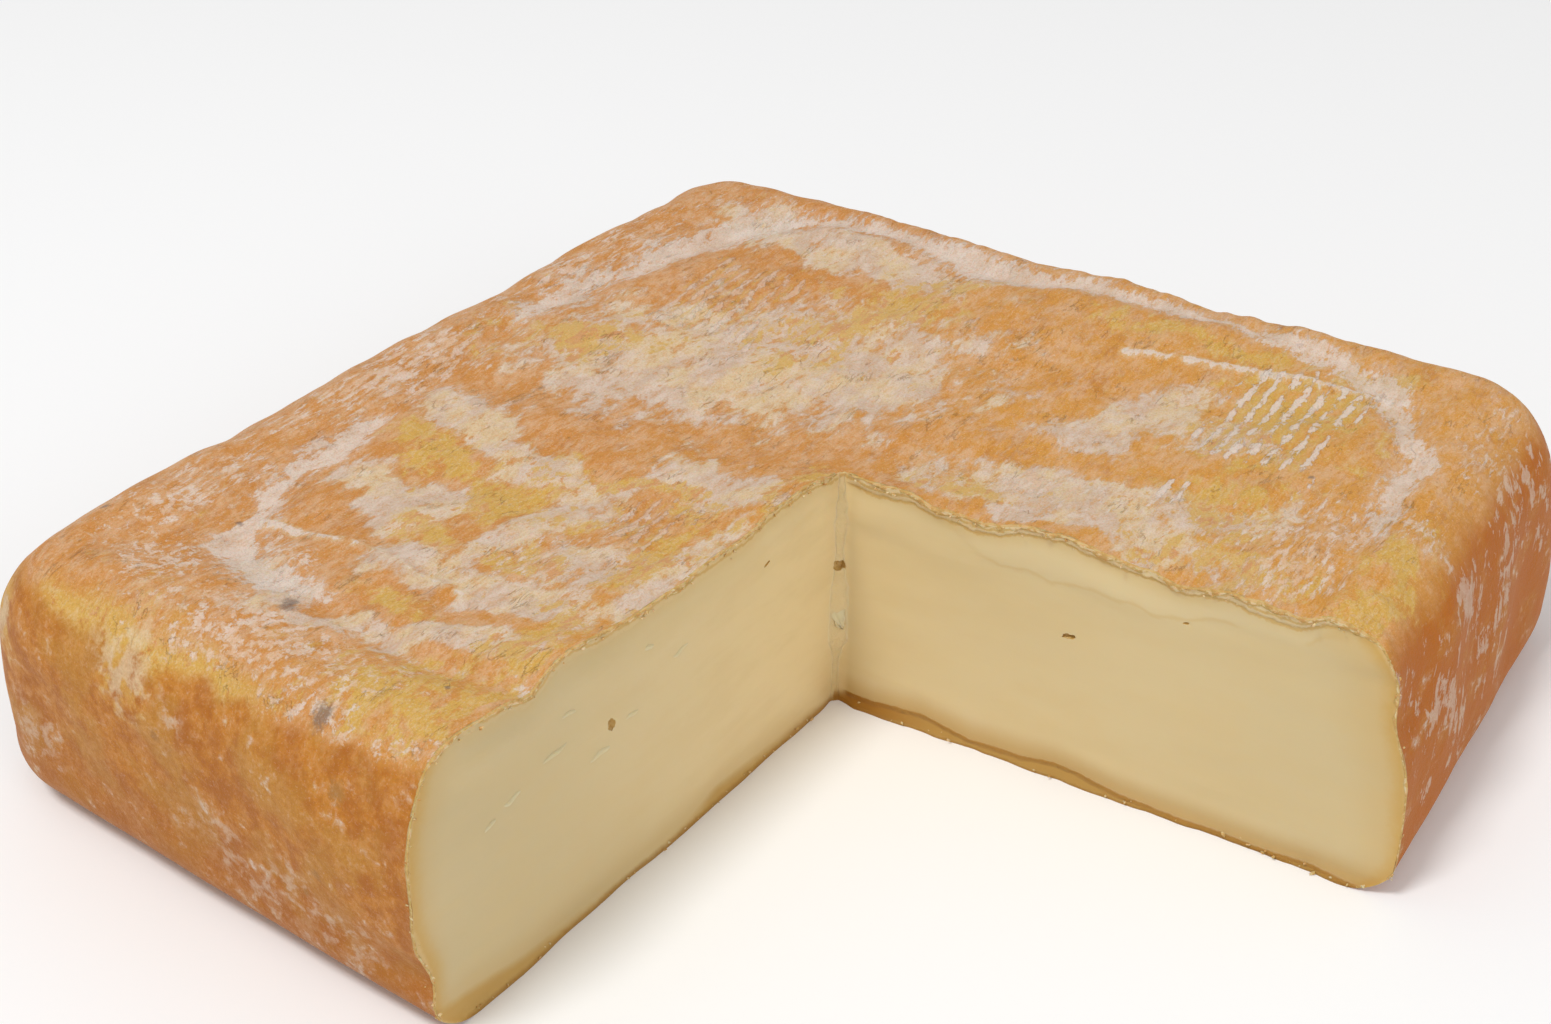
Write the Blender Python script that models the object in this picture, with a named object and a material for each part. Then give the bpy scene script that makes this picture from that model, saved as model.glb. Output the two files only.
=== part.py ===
"""A square washed-rind soft cheese with one quarter cut out and taken away.

Metres, +Z up. The cheese stands on its flat underside, and the origin is under the middle of its box.
The missing quarter is towards +X and -Y, so the left cut faces +X and the right cut faces -Y.
"""
import math

import bmesh
import bpy
import numpy as np

MM = 0.001

# Driving dimensions of the whole cheese
HALF = 100 * MM              # half a side of the plain square block that is shaped below
MIDDLE_HEIGHT = 44.0 * MM    # at the sunken middle of the top
EDGE_RISE = 4.4 * MM         # how much higher the top stands near its rim than in its middle
RISE_REACH = 88 * MM         # where the top has risen in full
CORNER_RADIUS = 17 * MM      # of the four upright corners, seen from above
TOP_RIM = 14 * MM            # rounding between the top and the sides
FOOT_RIM = 8.9 * MM          # rounding between the sides and the underside
BELLY = 0.8 * MM             # how far the sides swell at half their height

# Each side: its reach from the foot of the inner edge, the way it faces, and how far its foot spreads
FRONT = (102.8 * MM, -94.3, -0.8 * MM)
RIGHT = (100.4 * MM, 2.6, 5.6 * MM)
BACK = (95.7 * MM, 88.8, 1.8 * MM)
LEFT = (102.2 * MM, 177.3, 9.2 * MM)

# The cut: the foot of the inner edge, the lean of that edge, and the way each cut runs from it
INNER_FOOT = (3.5 * MM, 2.8 * MM)
INNER_LEAN = (0.9 * MM, 1.9 * MM)
LEFT_CUT_TURN = -91.6
RIGHT_CUT_TURN = 1.2

# Relief of the top
GROOVE_MIDDLE = (2.2 * MM, 2.0 * MM)
GROOVE_REACH = 79 * MM       # from that middle to the pressed groove that follows the outline
GROOVE_HALF_WIDTH = 3.2 * MM
GROOVE_DEPTH = 1.3 * MM
GROOVE_SQUARENESS = 5        # power of the rounded square that the groove follows
LEFT_EDGE_RISE = 2.2 * MM    # the left cut's upper edge stands proud
RISE_WIDTH = 40 * MM
WAVE_REACH = 9 * MM          # how far the waves of a cut's upper edge reach in from it
LEFT_EDGE_WAVES = (          # along the left cut's edge: the run to each wave, its rise and its half width
    (6 * MM, 2.2 * MM, 8 * MM),
    (18 * MM, 2.0 * MM, 8 * MM),
    (42 * MM, -0.7 * MM, 8 * MM),
    (66 * MM, 0.9 * MM, 8 * MM),
    (84 * MM, -1.1 * MM, 9 * MM),
)
RIGHT_EDGE_WAVES = (         # the same along the right cut's edge
    (14 * MM, 1.5 * MM, 9 * MM),
    (39 * MM, 1.4 * MM, 8 * MM),
    (61 * MM, -2.3 * MM, 8 * MM),
    (78 * MM, -1.7 * MM, 11 * MM),
    (90 * MM, -1.0 * MM, 8 * MM),
)
LUMP_HEIGHT = 0.7 * MM
DIMPLE_HEIGHT = 0.35 * MM

# Relief of the sides and of the cuts
SIDE_LUMP = 0.55 * MM
FRONT_END_WAVES = (          # of the front beside the left cut: the share of the height and how far it stands out
    (0.82, -1.8 * MM),
    (0.52, 0.5 * MM),
    (0.25, -2.0 * MM),
)
RIGHT_END_WAVES = (          # the same of the right side beside the right cut
    (0.67, -1.7 * MM),
)
END_WAVE_SPAN = 0.12         # half width of these waves in the height
END_REACH = 14 * MM          # and along the side
CUT_WAVE = 0.4 * MM          # long soft waves that the knife leaves
CUT_ROLL = 0.9 * MM          # the soft roll under the upper edge
ROLL_DROP = 6.5 * MM         # of that roll under the edge
ROLL_HALF_WIDTH = 3.2 * MM
LIP_OUT = 0.5 * MM           # the rind's torn edge stands out over the cut
LIP_DEPTH = 2.4 * MM
FOOT_FLARE = 0.8 * MM        # the crumbly foot of the cut stands out
FLARE_HEIGHT = 2.6 * MM
CUT_SKIN = 7 * MM            # how deep the cut's relief reaches into the block

# Holes in the paste: how far along its cut, how high, and its width, depth and height
LEFT_EYES = (
    (57.8 * MM, 29.2 * MM, (4.6 * MM, 2.4 * MM, 2.6 * MM)),
    (20.3 * MM, 36.2 * MM, (3.4 * MM, 1.6 * MM, 1.2 * MM)),
    (88.6 * MM, 35.6 * MM, (4.0 * MM, 1.4 * MM, 1.4 * MM)),
)
RIGHT_EYES = (
    (43.5 * MM, 27.0 * MM, (4.6 * MM, 2.6 * MM, 1.8 * MM)),
    (64.0 * MM, 37.5 * MM, (2.6 * MM, 1.2 * MM, 1.2 * MM)),
)
TORN_HEIGHTS = (27.0 * MM, 15.6 * MM)
TORN_SIZE = (3.2 * MM, 3.2 * MM, 2.2 * MM)

# Fineness of the mesh
CELLS_ACROSS = 28            # in each half of a side
CELLS_UP = 9
ENDS_FINER = 0.5             # 0 gives even cells, 1 the finest at both ends of a row
EYE_SEGMENTS = 10
EYE_RINGS = 6

RIND_COLOUR = (0.55, 0.26, 0.09, 1.0)
PASTE_COLOUR = (0.63, 0.48, 0.25, 1.0)
RIND_ROUGHNESS = 0.62
PASTE_ROUGHNESS = 0.45


def clear_scene():
    """Removes whatever the scene holds."""
    for item in list(bpy.data.objects):
        bpy.data.objects.remove(item)


def new_collection(name):
    collection = bpy.data.collections.new(name)
    bpy.context.scene.collection.children.link(collection)
    return collection


def plain_material(name, colour, roughness):
    material = bpy.data.materials.new(name)
    material.use_nodes = True
    shader = material.node_tree.nodes["Principled BSDF"]
    shader.inputs["Base Color"].default_value = colour
    shader.inputs["Roughness"].default_value = roughness
    shader.inputs["Metallic"].default_value = 0.0
    return material


def eased(share):
    """0 to 1 with a soft start and a soft end."""
    share = np.clip(share, 0, 1)
    return share * share * (3 - 2 * share)


def bump(offset, half_width):
    """A soft hill of height 1 that fades over its half width."""
    return np.exp(-(offset / half_width) ** 2)


def uneven(a, b, length, seed, waves=6):
    """A soft uneven field, mostly between -1 and 1, with bumps about as long as the length."""
    draw = np.random.default_rng(seed)
    total = np.zeros(np.shape(a))
    for _ in range(waves):
        turn = draw.uniform(0, 2 * math.pi)
        along = a * math.cos(turn) + b * math.sin(turn)
        total = total + np.sin(2 * math.pi * along / (length * draw.uniform(0.75, 1.35)) + draw.uniform(0, 6))
    return total / math.sqrt(2 * waves)


def spaced(index, cells):
    """Where a row's line falls, from 0 to 1, with smaller cells at both ends."""
    share = index / cells
    return share - ENDS_FINER * np.sin(2 * math.pi * share) / (2 * math.pi)


def rounded(a, b, centre_a, centre_b):
    """Moves what lies in a square corner beyond the centre onto arcs about that centre."""
    over_a = a - centre_a
    over_b = b - centre_b
    corner = (over_a > 0) & (over_b > 0)
    share = np.maximum(over_a, over_b) / np.where(corner, np.hypot(over_a, over_b), 1)
    return np.where(corner, centre_a + over_a * share, a), np.where(corner, centre_b + over_b * share, b)


def side_line(side, level):
    """A side's line at a share of the height: the direction it faces and its reach."""
    reach, turn, spread = side
    facing = np.array((math.cos(math.radians(turn)), math.sin(math.radians(turn))))
    return facing, reach + (0.5 - level) * spread


def crossing(side_a, side_b, level):
    """The corner where two sides meet."""
    (na, ra), (nb, rb) = side_line(side_a, level), side_line(side_b, level)
    across = na[0] * nb[1] - na[1] * nb[0]
    return np.stack([(ra * nb[1] - rb * na[1]) / across, (rb * na[0] - ra * nb[0]) / across], -1)


def reached(start, turn, side, level):
    """Where a line from the inner edge meets a side."""
    way = np.array((math.cos(math.radians(turn)), math.sin(math.radians(turn))))
    facing, reach = side_line(side, level)
    run = (reach - start @ facing) / (way @ facing)
    return start + run[..., None] * way


def placed(across, along, level):
    """Fits the plain square's plan to the four leaning sides, quarter by quarter."""
    inner = np.multiply.outer(level, np.array(INNER_LEAN))
    right = reached(inner, RIGHT_CUT_TURN, RIGHT, level)
    front = reached(inner, LEFT_CUT_TURN, FRONT, level)
    left = reached(inner, 180, LEFT, level)
    back = reached(inner, 90, BACK, level)
    side_point = np.where((across >= 0)[:, None], right, left)
    end_point = np.where((along >= 0)[:, None], back, front)
    corner = np.where(
        (across >= 0)[:, None],
        np.where((along >= 0)[:, None], crossing(RIGHT, BACK, level), crossing(RIGHT, FRONT, level)),
        np.where((along >= 0)[:, None], crossing(LEFT, BACK, level), crossing(LEFT, FRONT, level)),
    )
    a = np.abs(across)[:, None] / HALF
    b = np.abs(along)[:, None] / HALF
    return (1 - a) * (1 - b) * inner + a * (1 - b) * side_point + (1 - a) * b * end_point + a * b * corner


def top_relief(x, y):
    """How far the top rises or sinks at a place, for its groove, its lumps and its two cut edges."""
    power = GROOVE_SQUARENESS
    from_middle = np.abs(x - GROOVE_MIDDLE[0]), np.abs(y - GROOVE_MIDDLE[1])
    reach = (from_middle[0] ** power + from_middle[1] ** power) ** (1 / power)
    wander = 2.5 * MM * uneven(x, y, 60 * MM, seed=3)
    relief = -GROOVE_DEPTH * bump(reach - GROOVE_REACH + wander, GROOVE_HALF_WIDTH)
    relief = relief + LUMP_HEIGHT * uneven(x, y, 42 * MM, seed=5)
    relief = relief + DIMPLE_HEIGHT * uneven(x, y, 13 * MM, seed=8)
    relief = relief + LEFT_EDGE_RISE * eased(-y / (15 * MM)) * bump(x, RISE_WIDTH)
    for run, rise, half_width in LEFT_EDGE_WAVES:
        relief = relief + rise * bump(y + run, half_width) * bump(x, WAVE_REACH)
    for run, rise, half_width in RIGHT_EDGE_WAVES:
        relief = relief + rise * bump(x - run, half_width) * bump(y, WAVE_REACH)
    return relief


def cut_relief(run, drop, up, seed):
    """How far a cut face stands out, by the run along it, the drop below its edge and the height."""
    relief = CUT_WAVE * uneven(run, up * 1.6, 38 * MM, seed)
    roll = CUT_ROLL * (0.6 + 0.6 * uneven(run, up, 24 * MM, seed + 1))
    relief = relief + roll * bump(drop - ROLL_DROP, ROLL_HALF_WIDTH)
    lip = LIP_OUT * (0.7 + 0.7 * uneven(run, up * 0, 8 * MM, seed + 2))
    relief = relief + lip * (1 - eased(drop / LIP_DEPTH))
    flare = FOOT_FLARE * (0.7 + 0.7 * uneven(run, up * 0, 10 * MM, seed + 3))
    relief = relief + flare * (1 - eased(up / FLARE_HEIGHT))
    return relief * eased(run / (5 * MM))


def end_relief(across, along, share):
    """How far the sides stand out beside the outer ends of the two cuts."""
    relief = np.zeros(np.shape(share))
    for level, rise in FRONT_END_WAVES:
        relief = relief + rise * (along < 0) * bump(across, END_REACH) * bump(share - level, END_WAVE_SPAN)
    for level, rise in RIGHT_END_WAVES:
        relief = relief + rise * (across > 0) * bump(along, END_REACH) * bump(share - level, END_WAVE_SPAN)
    return relief


def shaped(across, along, level):
    """The cheese's form: where each point of the plain square block comes to lie."""
    ring = np.maximum(np.abs(across), np.abs(along))
    out, up = rounded(ring, level * MIDDLE_HEIGHT, HALF - TOP_RIM, MIDDLE_HEIGHT - TOP_RIM)
    out, down = rounded(out, MIDDLE_HEIGHT - up, HALF - FOOT_RIM, MIDDLE_HEIGHT - FOOT_RIM)
    up = MIDDLE_HEIGHT - down
    share = up / MIDDLE_HEIGHT
    swell = BELLY * (np.sin(math.pi * np.clip(share, 0, 1)) - 1)
    lumps = SIDE_LUMP * uneven(across + up, along - 0.6 * up, 30 * MM, seed=21)
    outer = eased((ring - HALF + 20 * MM) / (20 * MM))
    out = out + outer * (swell + lumps * eased(share / 0.3) + end_relief(across, along, share))
    grow = out / np.where(ring > 0, ring, 1)
    flat_x = np.abs(across) * grow
    flat_y = np.abs(along) * grow
    flat_x, flat_y = rounded(flat_x, flat_y, HALF - CORNER_RADIUS, HALF - CORNER_RADIUS)
    plan = placed(np.sign(across) * flat_x, np.where(along >= 0, flat_y, -flat_y), share)
    x, y = plan[:, 0], plan[:, 1]
    risen = np.minimum(np.maximum(np.abs(x), np.abs(y)) / RISE_REACH, 1) ** 2
    top = MIDDLE_HEIGHT + EDGE_RISE * risen + top_relief(x, y)
    z = up + (top - MIDDLE_HEIGHT) * eased(share / 0.98) * share
    below_edge = np.maximum(top - z, 0)
    in_left = (along <= 0) * (across <= 0) * bump(across, CUT_SKIN)
    in_right = (along >= 0) * (across >= 0) * bump(along, CUT_SKIN)
    x = x + in_left * cut_relief(-along, below_edge, z, seed=31)
    y = y - in_right * cut_relief(across, below_edge, z, seed=41)
    return np.stack([x + INNER_FOOT[0], y + INNER_FOOT[1], z], -1)


def three_quarter_block():
    """A plain square block without its front right quarter, in even cells one unit apart."""
    shape = bmesh.new()
    bmesh.ops.create_cube(shape, size=1)
    bmesh.ops.translate(shape, verts=shape.verts, vec=(-0.5, 0.5, 0.5))
    for way in ((1, 0, 0), (0, -1, 0)):
        shape.normal_update()
        facing = [face for face in shape.faces if face.normal.dot(way) > 0.9]
        start = [face for face in facing if face.calc_center_median().x <= 0]
        grown = bmesh.ops.extrude_face_region(shape, geom=start)
        moved = [part for part in grown["geom"] if isinstance(part, bmesh.types.BMVert)]
        bmesh.ops.translate(shape, verts=moved, vec=way)
        bmesh.ops.delete(shape, geom=start, context="FACES_ONLY")
    upright = [edge for edge in shape.edges if abs(edge.verts[0].co.z - edge.verts[1].co.z) > 0.5]
    lying = [edge for edge in shape.edges if edge not in upright]
    bmesh.ops.subdivide_edges(shape, edges=lying, cuts=CELLS_ACROSS - 1, use_grid_fill=True)
    upright = [edge for edge in shape.edges if abs(edge.verts[0].co.z - edge.verts[1].co.z) > 0.5]
    bmesh.ops.subdivide_edges(shape, edges=upright, cuts=CELLS_UP - 1, use_grid_fill=True)
    return shape


def shape_block(shape):
    """Gives every point of the block its place in the cheese, and joins the flat underside to one face."""
    plain = np.array([vertex.co for vertex in shape.verts])
    across = np.sign(plain[:, 0]) * spaced(np.abs(plain[:, 0]) * CELLS_ACROSS, CELLS_ACROSS) * HALF
    along = np.sign(plain[:, 1]) * spaced(np.abs(plain[:, 1]) * CELLS_ACROSS, CELLS_ACROSS) * HALF
    level = spaced(plain[:, 2] * CELLS_UP, CELLS_UP)
    for vertex, place in zip(shape.verts, shaped(across, along, level)):
        vertex.co = place
    underside = [face for face in shape.faces if all(vertex.co.z == 0 for vertex in face.verts)]
    bmesh.ops.dissolve_faces(shape, faces=underside, use_verts=True)


def face_point(across, along, height):
    """The point of a cut face at a place of the plain square block and a height."""
    return shaped(np.array([across]), np.array([along]), np.array([height / MIDDLE_HEIGHT]))[0]


def eye_cutter(name, place, size, collection):
    """A small rounded hollow's cutter."""
    mesh = bpy.data.meshes.new(name)
    shape = bmesh.new()
    bmesh.ops.create_uvsphere(shape, u_segments=EYE_SEGMENTS, v_segments=EYE_RINGS, radius=0.5)
    bmesh.ops.scale(shape, verts=shape.verts, vec=size)
    shape.to_mesh(mesh)
    shape.free()
    cutter = bpy.data.objects.new(name, mesh)
    cutter.location = place
    cutter.hide_render = True
    cutter.display_type = "WIRE"
    collection.objects.link(cutter)


def cut_eyes(cheese, cutters):
    """Sinks the eyes into both cut faces and tears the inner edge."""
    for number, (run, height, (width, depth, tall)) in enumerate(LEFT_EYES):
        eye_cutter(f"left_eye_{number}", face_point(0, -run, height), (depth, width, tall), cutters)
    for number, (run, height, (width, depth, tall)) in enumerate(RIGHT_EYES):
        eye_cutter(f"right_eye_{number}", face_point(run, 0, height), (width, depth, tall), cutters)
    for number, height in enumerate(TORN_HEIGHTS):
        eye_cutter(f"torn_{number}", face_point(0, 0, height), TORN_SIZE, cutters)
    hollow = cheese.modifiers.new("eyes", "BOOLEAN")
    hollow.operation = "DIFFERENCE"
    hollow.operand_type = "COLLECTION"
    hollow.collection = cutters
    hollow.solver = "EXACT"


def make_cheese(collection):
    shape = three_quarter_block()
    shape_block(shape)
    mesh = bpy.data.meshes.new("cheese")
    shape.to_mesh(mesh)
    shape.free()
    mesh.materials.append(plain_material("washed_rind", RIND_COLOUR, RIND_ROUGHNESS))
    mesh.shade_smooth()
    mesh.set_sharp_from_angle(angle=math.radians(40))
    cheese = bpy.data.objects.new("cheese", mesh)
    collection.objects.link(cheese)
    return cheese


def main():
    clear_scene()
    cheese = make_cheese(new_collection("taleggio"))
    cut_eyes(cheese, new_collection("cutters"))


main()
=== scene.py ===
"""A square washed-rind soft cheese with a quarter cut out: its rind, its cut paste, and a pale studio.

Metres, +Z up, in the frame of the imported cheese. The missing quarter is towards +X and -Y, so the left cut
faces +X and the right cut faces -Y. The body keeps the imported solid's form and adds its fine relief.
"""
import math

import bmesh
import bpy
import numpy as np
from bpy.props import FloatProperty, FloatVectorProperty, IntProperty, PointerProperty
from mathutils import Euler, Matrix, Vector, noise


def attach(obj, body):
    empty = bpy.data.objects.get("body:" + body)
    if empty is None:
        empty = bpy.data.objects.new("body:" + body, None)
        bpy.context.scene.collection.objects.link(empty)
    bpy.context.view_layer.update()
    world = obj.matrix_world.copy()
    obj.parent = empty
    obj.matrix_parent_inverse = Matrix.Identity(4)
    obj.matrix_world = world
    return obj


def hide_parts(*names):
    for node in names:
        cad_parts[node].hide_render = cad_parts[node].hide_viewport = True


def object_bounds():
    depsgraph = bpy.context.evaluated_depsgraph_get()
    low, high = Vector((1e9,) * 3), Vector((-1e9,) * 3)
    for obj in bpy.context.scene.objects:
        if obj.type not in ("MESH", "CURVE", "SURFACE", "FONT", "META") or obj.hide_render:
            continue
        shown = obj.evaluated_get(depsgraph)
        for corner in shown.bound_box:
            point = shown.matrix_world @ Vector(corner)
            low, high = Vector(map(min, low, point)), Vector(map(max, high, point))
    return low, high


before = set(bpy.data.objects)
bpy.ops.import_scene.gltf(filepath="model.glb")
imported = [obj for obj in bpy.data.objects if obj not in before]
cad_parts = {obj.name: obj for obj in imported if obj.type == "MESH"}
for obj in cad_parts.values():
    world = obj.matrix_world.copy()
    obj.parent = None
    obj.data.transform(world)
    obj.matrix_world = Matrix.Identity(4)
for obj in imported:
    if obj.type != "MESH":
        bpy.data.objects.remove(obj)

bl_info = {
    "name": "Washed-rind cheese",
    "version": (1, 0, 0),
    "blender": (4, 5, 0),
    "location": "3D View > Sidebar > Cheese",
    "description": "Models a square soft cheese with a quarter cut out, and the pale studio it stands in",
    "category": "Mesh",
}

MM = 0.001
BODY = "root"
CAD_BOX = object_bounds()
PHOTO_SIZE = (1551, 1024)
PHOTO_MIDDLE = (802.73, 553.07)     # the pixel that the camera faces straight on
CAMERA_AIM = (-5.10 * MM, 6.85 * MM, 25 * MM)
SENSOR_WIDTH = 36
FLOOR_SIZE = 12
# Each lamp: its place and its size across in metres; both face the cheese
LAMPS = {"key": ((-0.25, -0.75, 1.7), 0.5), "fill": ((1.2, -0.5, 0.8), 0.8)}
LAMP_AIM = (0, 0, 0.02)


def metres(*rows):
    """Rows of millimetres as rows of metres."""
    return tuple(tuple(value * MM for value in row) for row in rows)


# The whole cheese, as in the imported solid
HALF = 100 * MM
MIDDLE_HEIGHT = 44.0 * MM
EDGE_RISE = 4.4 * MM
RISE_REACH = 88 * MM
CORNER_RADIUS = 17 * MM
TOP_RIM = 14 * MM
FOOT_RIM = 8.9 * MM
BELLY = 0.8 * MM

# Each side: its reach from the foot of the inner edge, the way it faces, and how far its foot spreads
FRONT = (102.8 * MM, -94.3, -0.8 * MM)
RIGHT = (100.4 * MM, 2.6, 5.6 * MM)
BACK = (95.7 * MM, 88.8, 1.8 * MM)
LEFT = (102.2 * MM, 177.3, 9.2 * MM)

# The cut: the foot of the inner edge, the lean of that edge, and the way each cut runs from it
INNER_FOOT = (3.5 * MM, 2.8 * MM)
INNER_LEAN = (0.9 * MM, 1.9 * MM)
LEFT_CUT_TURN = -91.6
RIGHT_CUT_TURN = 1.2

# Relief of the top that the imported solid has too
GROOVE_MIDDLE = (2.2 * MM, 2.0 * MM)
GROOVE_REACH = 79 * MM
GROOVE_HALF_WIDTH = 3.2 * MM
GROOVE_DEPTH = 1.3 * MM
GROOVE_SQUARENESS = 5
LEFT_EDGE_RISE = 2.2 * MM
RISE_WIDTH = 40 * MM
WAVE_REACH = 9 * MM
# Waves of the two cut edges: the run along the cut, the rise and the half width
LEFT_EDGE_WAVES = metres((6, 2.2, 8), (18, 2.0, 8), (42, -0.7, 8), (66, 0.9, 8), (84, -1.1, 9))
RIGHT_EDGE_WAVES = metres((14, 1.5, 9), (39, 1.4, 8), (61, -2.3, 8), (78, -1.7, 11), (90, -1.0, 8))
LUMP_HEIGHT = 0.7 * MM
DIMPLE_HEIGHT = 0.35 * MM

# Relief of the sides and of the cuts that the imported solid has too
SIDE_LUMP = 0.55 * MM
FRONT_END_WAVES = ((0.82, -1.8 * MM), (0.52, 0.5 * MM), (0.25, -2.0 * MM))
RIGHT_END_WAVES = ((0.67, -1.7 * MM),)
END_WAVE_SPAN = 0.12
END_REACH = 14 * MM
CUT_WAVE = 0.4 * MM
CUT_ROLL = 0.9 * MM
ROLL_DROP = 6.5 * MM
ROLL_HALF_WIDTH = 3.2 * MM
LIP_OUT = 0.5 * MM
LIP_DEPTH = 2.4 * MM
FOOT_FLARE = 0.8 * MM
FLARE_HEIGHT = 2.6 * MM
CUT_SKIN = 7 * MM

# The film of paste dragged down over the right cut: its height, and its lower border in millimetres, the run
# and the drop below the edge
SMEAR_HEIGHT = 0.18 * MM
SMEAR_LINE = (
    (18, 2.0), (24, 3.6), (31, 7.6), (40, 8.7), (47, 7.3), (57, 6.6), (67, 5.3), (73, 5.6), (82, 5.0),
    (92, 3.5),
)

# The upper border of the brown foot of each cut, in millimetres: the run and the height
LEFT_FOOT = (
    (0, 1.4), (7, 1.9), (17, 2.3), (27, 3.1), (34, 3.8), (40, 2.4), (51, 1.5), (64, 1.8), (72, 2.2),
    (81, 3.4), (90, 5.0), (99, 6.5),
)
RIGHT_FOOT = (
    (0, 2.6), (8, 2.4), (18, 3.4), (27, 1.7), (37, 2.1), (43, 3.0), (47, 2.7), (53, 1.7), (61, 1.1),
    (71, 0.9), (81, 0.8), (88, 1.3), (96, 0.8),
)

# Holes in the paste: how far along its cut, how high, and its width, depth and height
LEFT_EYES = metres((57.8, 29.2, 1.8, 2.0, 2.2), (20.3, 36.2, 1.5, 0.9, 0.8))
RIGHT_EYES = metres((43.5, 27.0, 2.6, 1.8, 1.0), (64.0, 37.5, 1.3, 0.8, 0.5))
TORN_HEIGHT = 27.0 * MM
TORN_SIZE = (2.2 * MM, 2.2 * MM, 1.9 * MM)
LEFT_EYE_TILT = (0.3, 0, 0)
RIGHT_EYE_TILT = (0, -0.25, 0)
TORN_TILT = (0.4, 0.2, 0.8)
# Slots of the body's materials after the rind's
PASTE_SLOT = 1
EYE_SLOT = 2

# The torn flap of paste on the inner edge: height of its middle, width, length and tilt in degrees
FLAP = (17.7 * MM, 3.6 * MM, 4.6 * MM, -12)
FLAP_THICKNESS = 0.35 * MM

# Low ridges of dragged paste on the left cut: run, height, length and width in millimetres, tilt in degrees
RIDGES = (
    (79, 29.4, 5.5, 1.3, 6), (84, 28.2, 3.5, 1.0, 12), (66, 34.8, 4.0, 1.0, -6), (69, 31.0, 8.0, 1.2, 3),
    (60, 26.0, 6.5, 1.4, 5), (53, 28.5, 4.0, 1.0, -4), (49, 37.6, 3.0, 1.2, 0), (41, 33.0, 5.0, 1.0, 8),
)
RIDGE_HEIGHT = 0.19 * MM

# Fineness of the body: cells in each half of a side and in the height, halved again at the end
COARSE_ACROSS = 58
COARSE_UP = 24
CUTS_FINER = 0.42            # 0 gives even cells, 1 the finest at the cuts
ENDS_FINER = 0.45            # the same for the top and the foot of a side
INNER_FILL = 1.1 * MM        # the narrow strip of paste that fills the inner edge

EDGE_MARGIN = 1.0 * MM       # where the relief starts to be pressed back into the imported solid's box

# The torn lip of rind along a cut: where it starts, its step and its width, and its section's six corners:
# how far out of the cut and over the edge in millimetres, and the share of the width that each hangs down
LIP_START = 1.5 * MM
LIP_STEP = 0.24 * MM
LIP_WIDTH = 0.75 * MM
LIP_SECTION = (
    (-0.45, 0.06, 0.0), (0.02, -0.14, 0.0), (0.17, 0.00, 0.15), (0.17, 0.00, 0.6), (0.04, 0.00, 1.0),
    (-0.35, 0.00, 1.0),
)

# Crumbs along the edges: the share of places that have one, how far above its place a crumb sits, its size
# as a share of a middling crumb, and how far it may stray
CRUMB_LINES = {
    "top": (0.6, -0.7 * MM, 1, 0.45 * MM),
    "end": (0.7, 0, 0.9, 0.4 * MM),
    "foot": (0.35, 0.4 * MM, 0.8, 0.3 * MM),
}
# More of them on every second of the last places along the right cut's foot: their number, and as above
OUTER_FOOT_CRUMBS = (26, 0.2 * MM, 1.15, 0.35 * MM)

# Fields of ribs that the draining mat pressed in: middle, half width and half length
RIB_FIELDS = metres((-16, -28, 7.5, 11), (56, 54, 14, 19), (52, 24, 5, 5), (-50, 44, 13, 16))
# Long thin folds of the top, in millimetres from the foot of the inner edge: points, height and half width
FOLDS = (
    (((22, 63), (30, 65.4), (38, 66.2), (53, 68.5), (62, 69.4), (71, 70.5)), 0.55, 0.9),
    (((-69, -60.6), (-61, -60.2), (-54, -59.6), (-48.4, -59), (-40, -60.3), (-32, -61), (-24, -61.3)),
     0.45, 0.8),
)
# Small blisters and dents near the right end: middle, half width and height
BLISTERS = metres(
    (91.0, 10.5, 2.4, 1.0), (94.5, 5.0, 2.0, 0.8), (87.0, 6.5, 1.9, 0.6), (90.5, 16.0, 1.6, 0.5),
    (92.5, 7.8, 0.9, -0.8), (89.5, 12.9, 0.8, -0.6),
)

# Soft ovals on the top, in millimetres: middle x and y, half length, half width, and turn in degrees
PALE_PLACES = (
    (-21, -55, 21, 4.6, 2), (-27, -37, 16, 4.2, 72), (-52, -40, 12, 5.5, -4), (-45, -46, 5, 4, 0),
    (-14, -42, 7.5, 7, 0), (-10, -11, 14, 5.5, 0), (-32, -22, 11, 4, 5), (-58, -15, 12, 5, -20),
    (1, -37, 15, 3.6, 90), (-50, -71, 8, 3.5, -30), (-22, -71, 24, 2.8, 19), (39, 19, 20, 5.5, 3),
    (54, 20, 9, 6, 0), (44, 11.5, 27, 4, -2), (67, 26, 8, 4, 35), (38, 46, 13, 7, 58), (54, 47, 6, 5, 0),
    (-30, 30, 36, 20, 30), (-40, 74, 30, 6, -5),
)
WHITE_PLACES = (
    (-78, -4, 20, 7, 90), (-80.5, -58, 14, 6, 86), (-83, -36, 7, 3, 80), (-71, -75, 9, 5.5, -10),
    (-38, -84, 20, 6, 0), (-55, -66, 13, 4, -38), (-12, -93, 14, 2.2, 0), (-22, -40, 14, 6, 70),
    (54, 47, 6, 6, 0), (86, 33, 11, 7, 20), (92, 66, 12, 4, 100), (77, 17, 12, 7, -40), (36, 19, 16, 5, 2),
    (-78, 45, 26, 7, 88), (-40, 80, 30, 6, 4),
)
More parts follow.
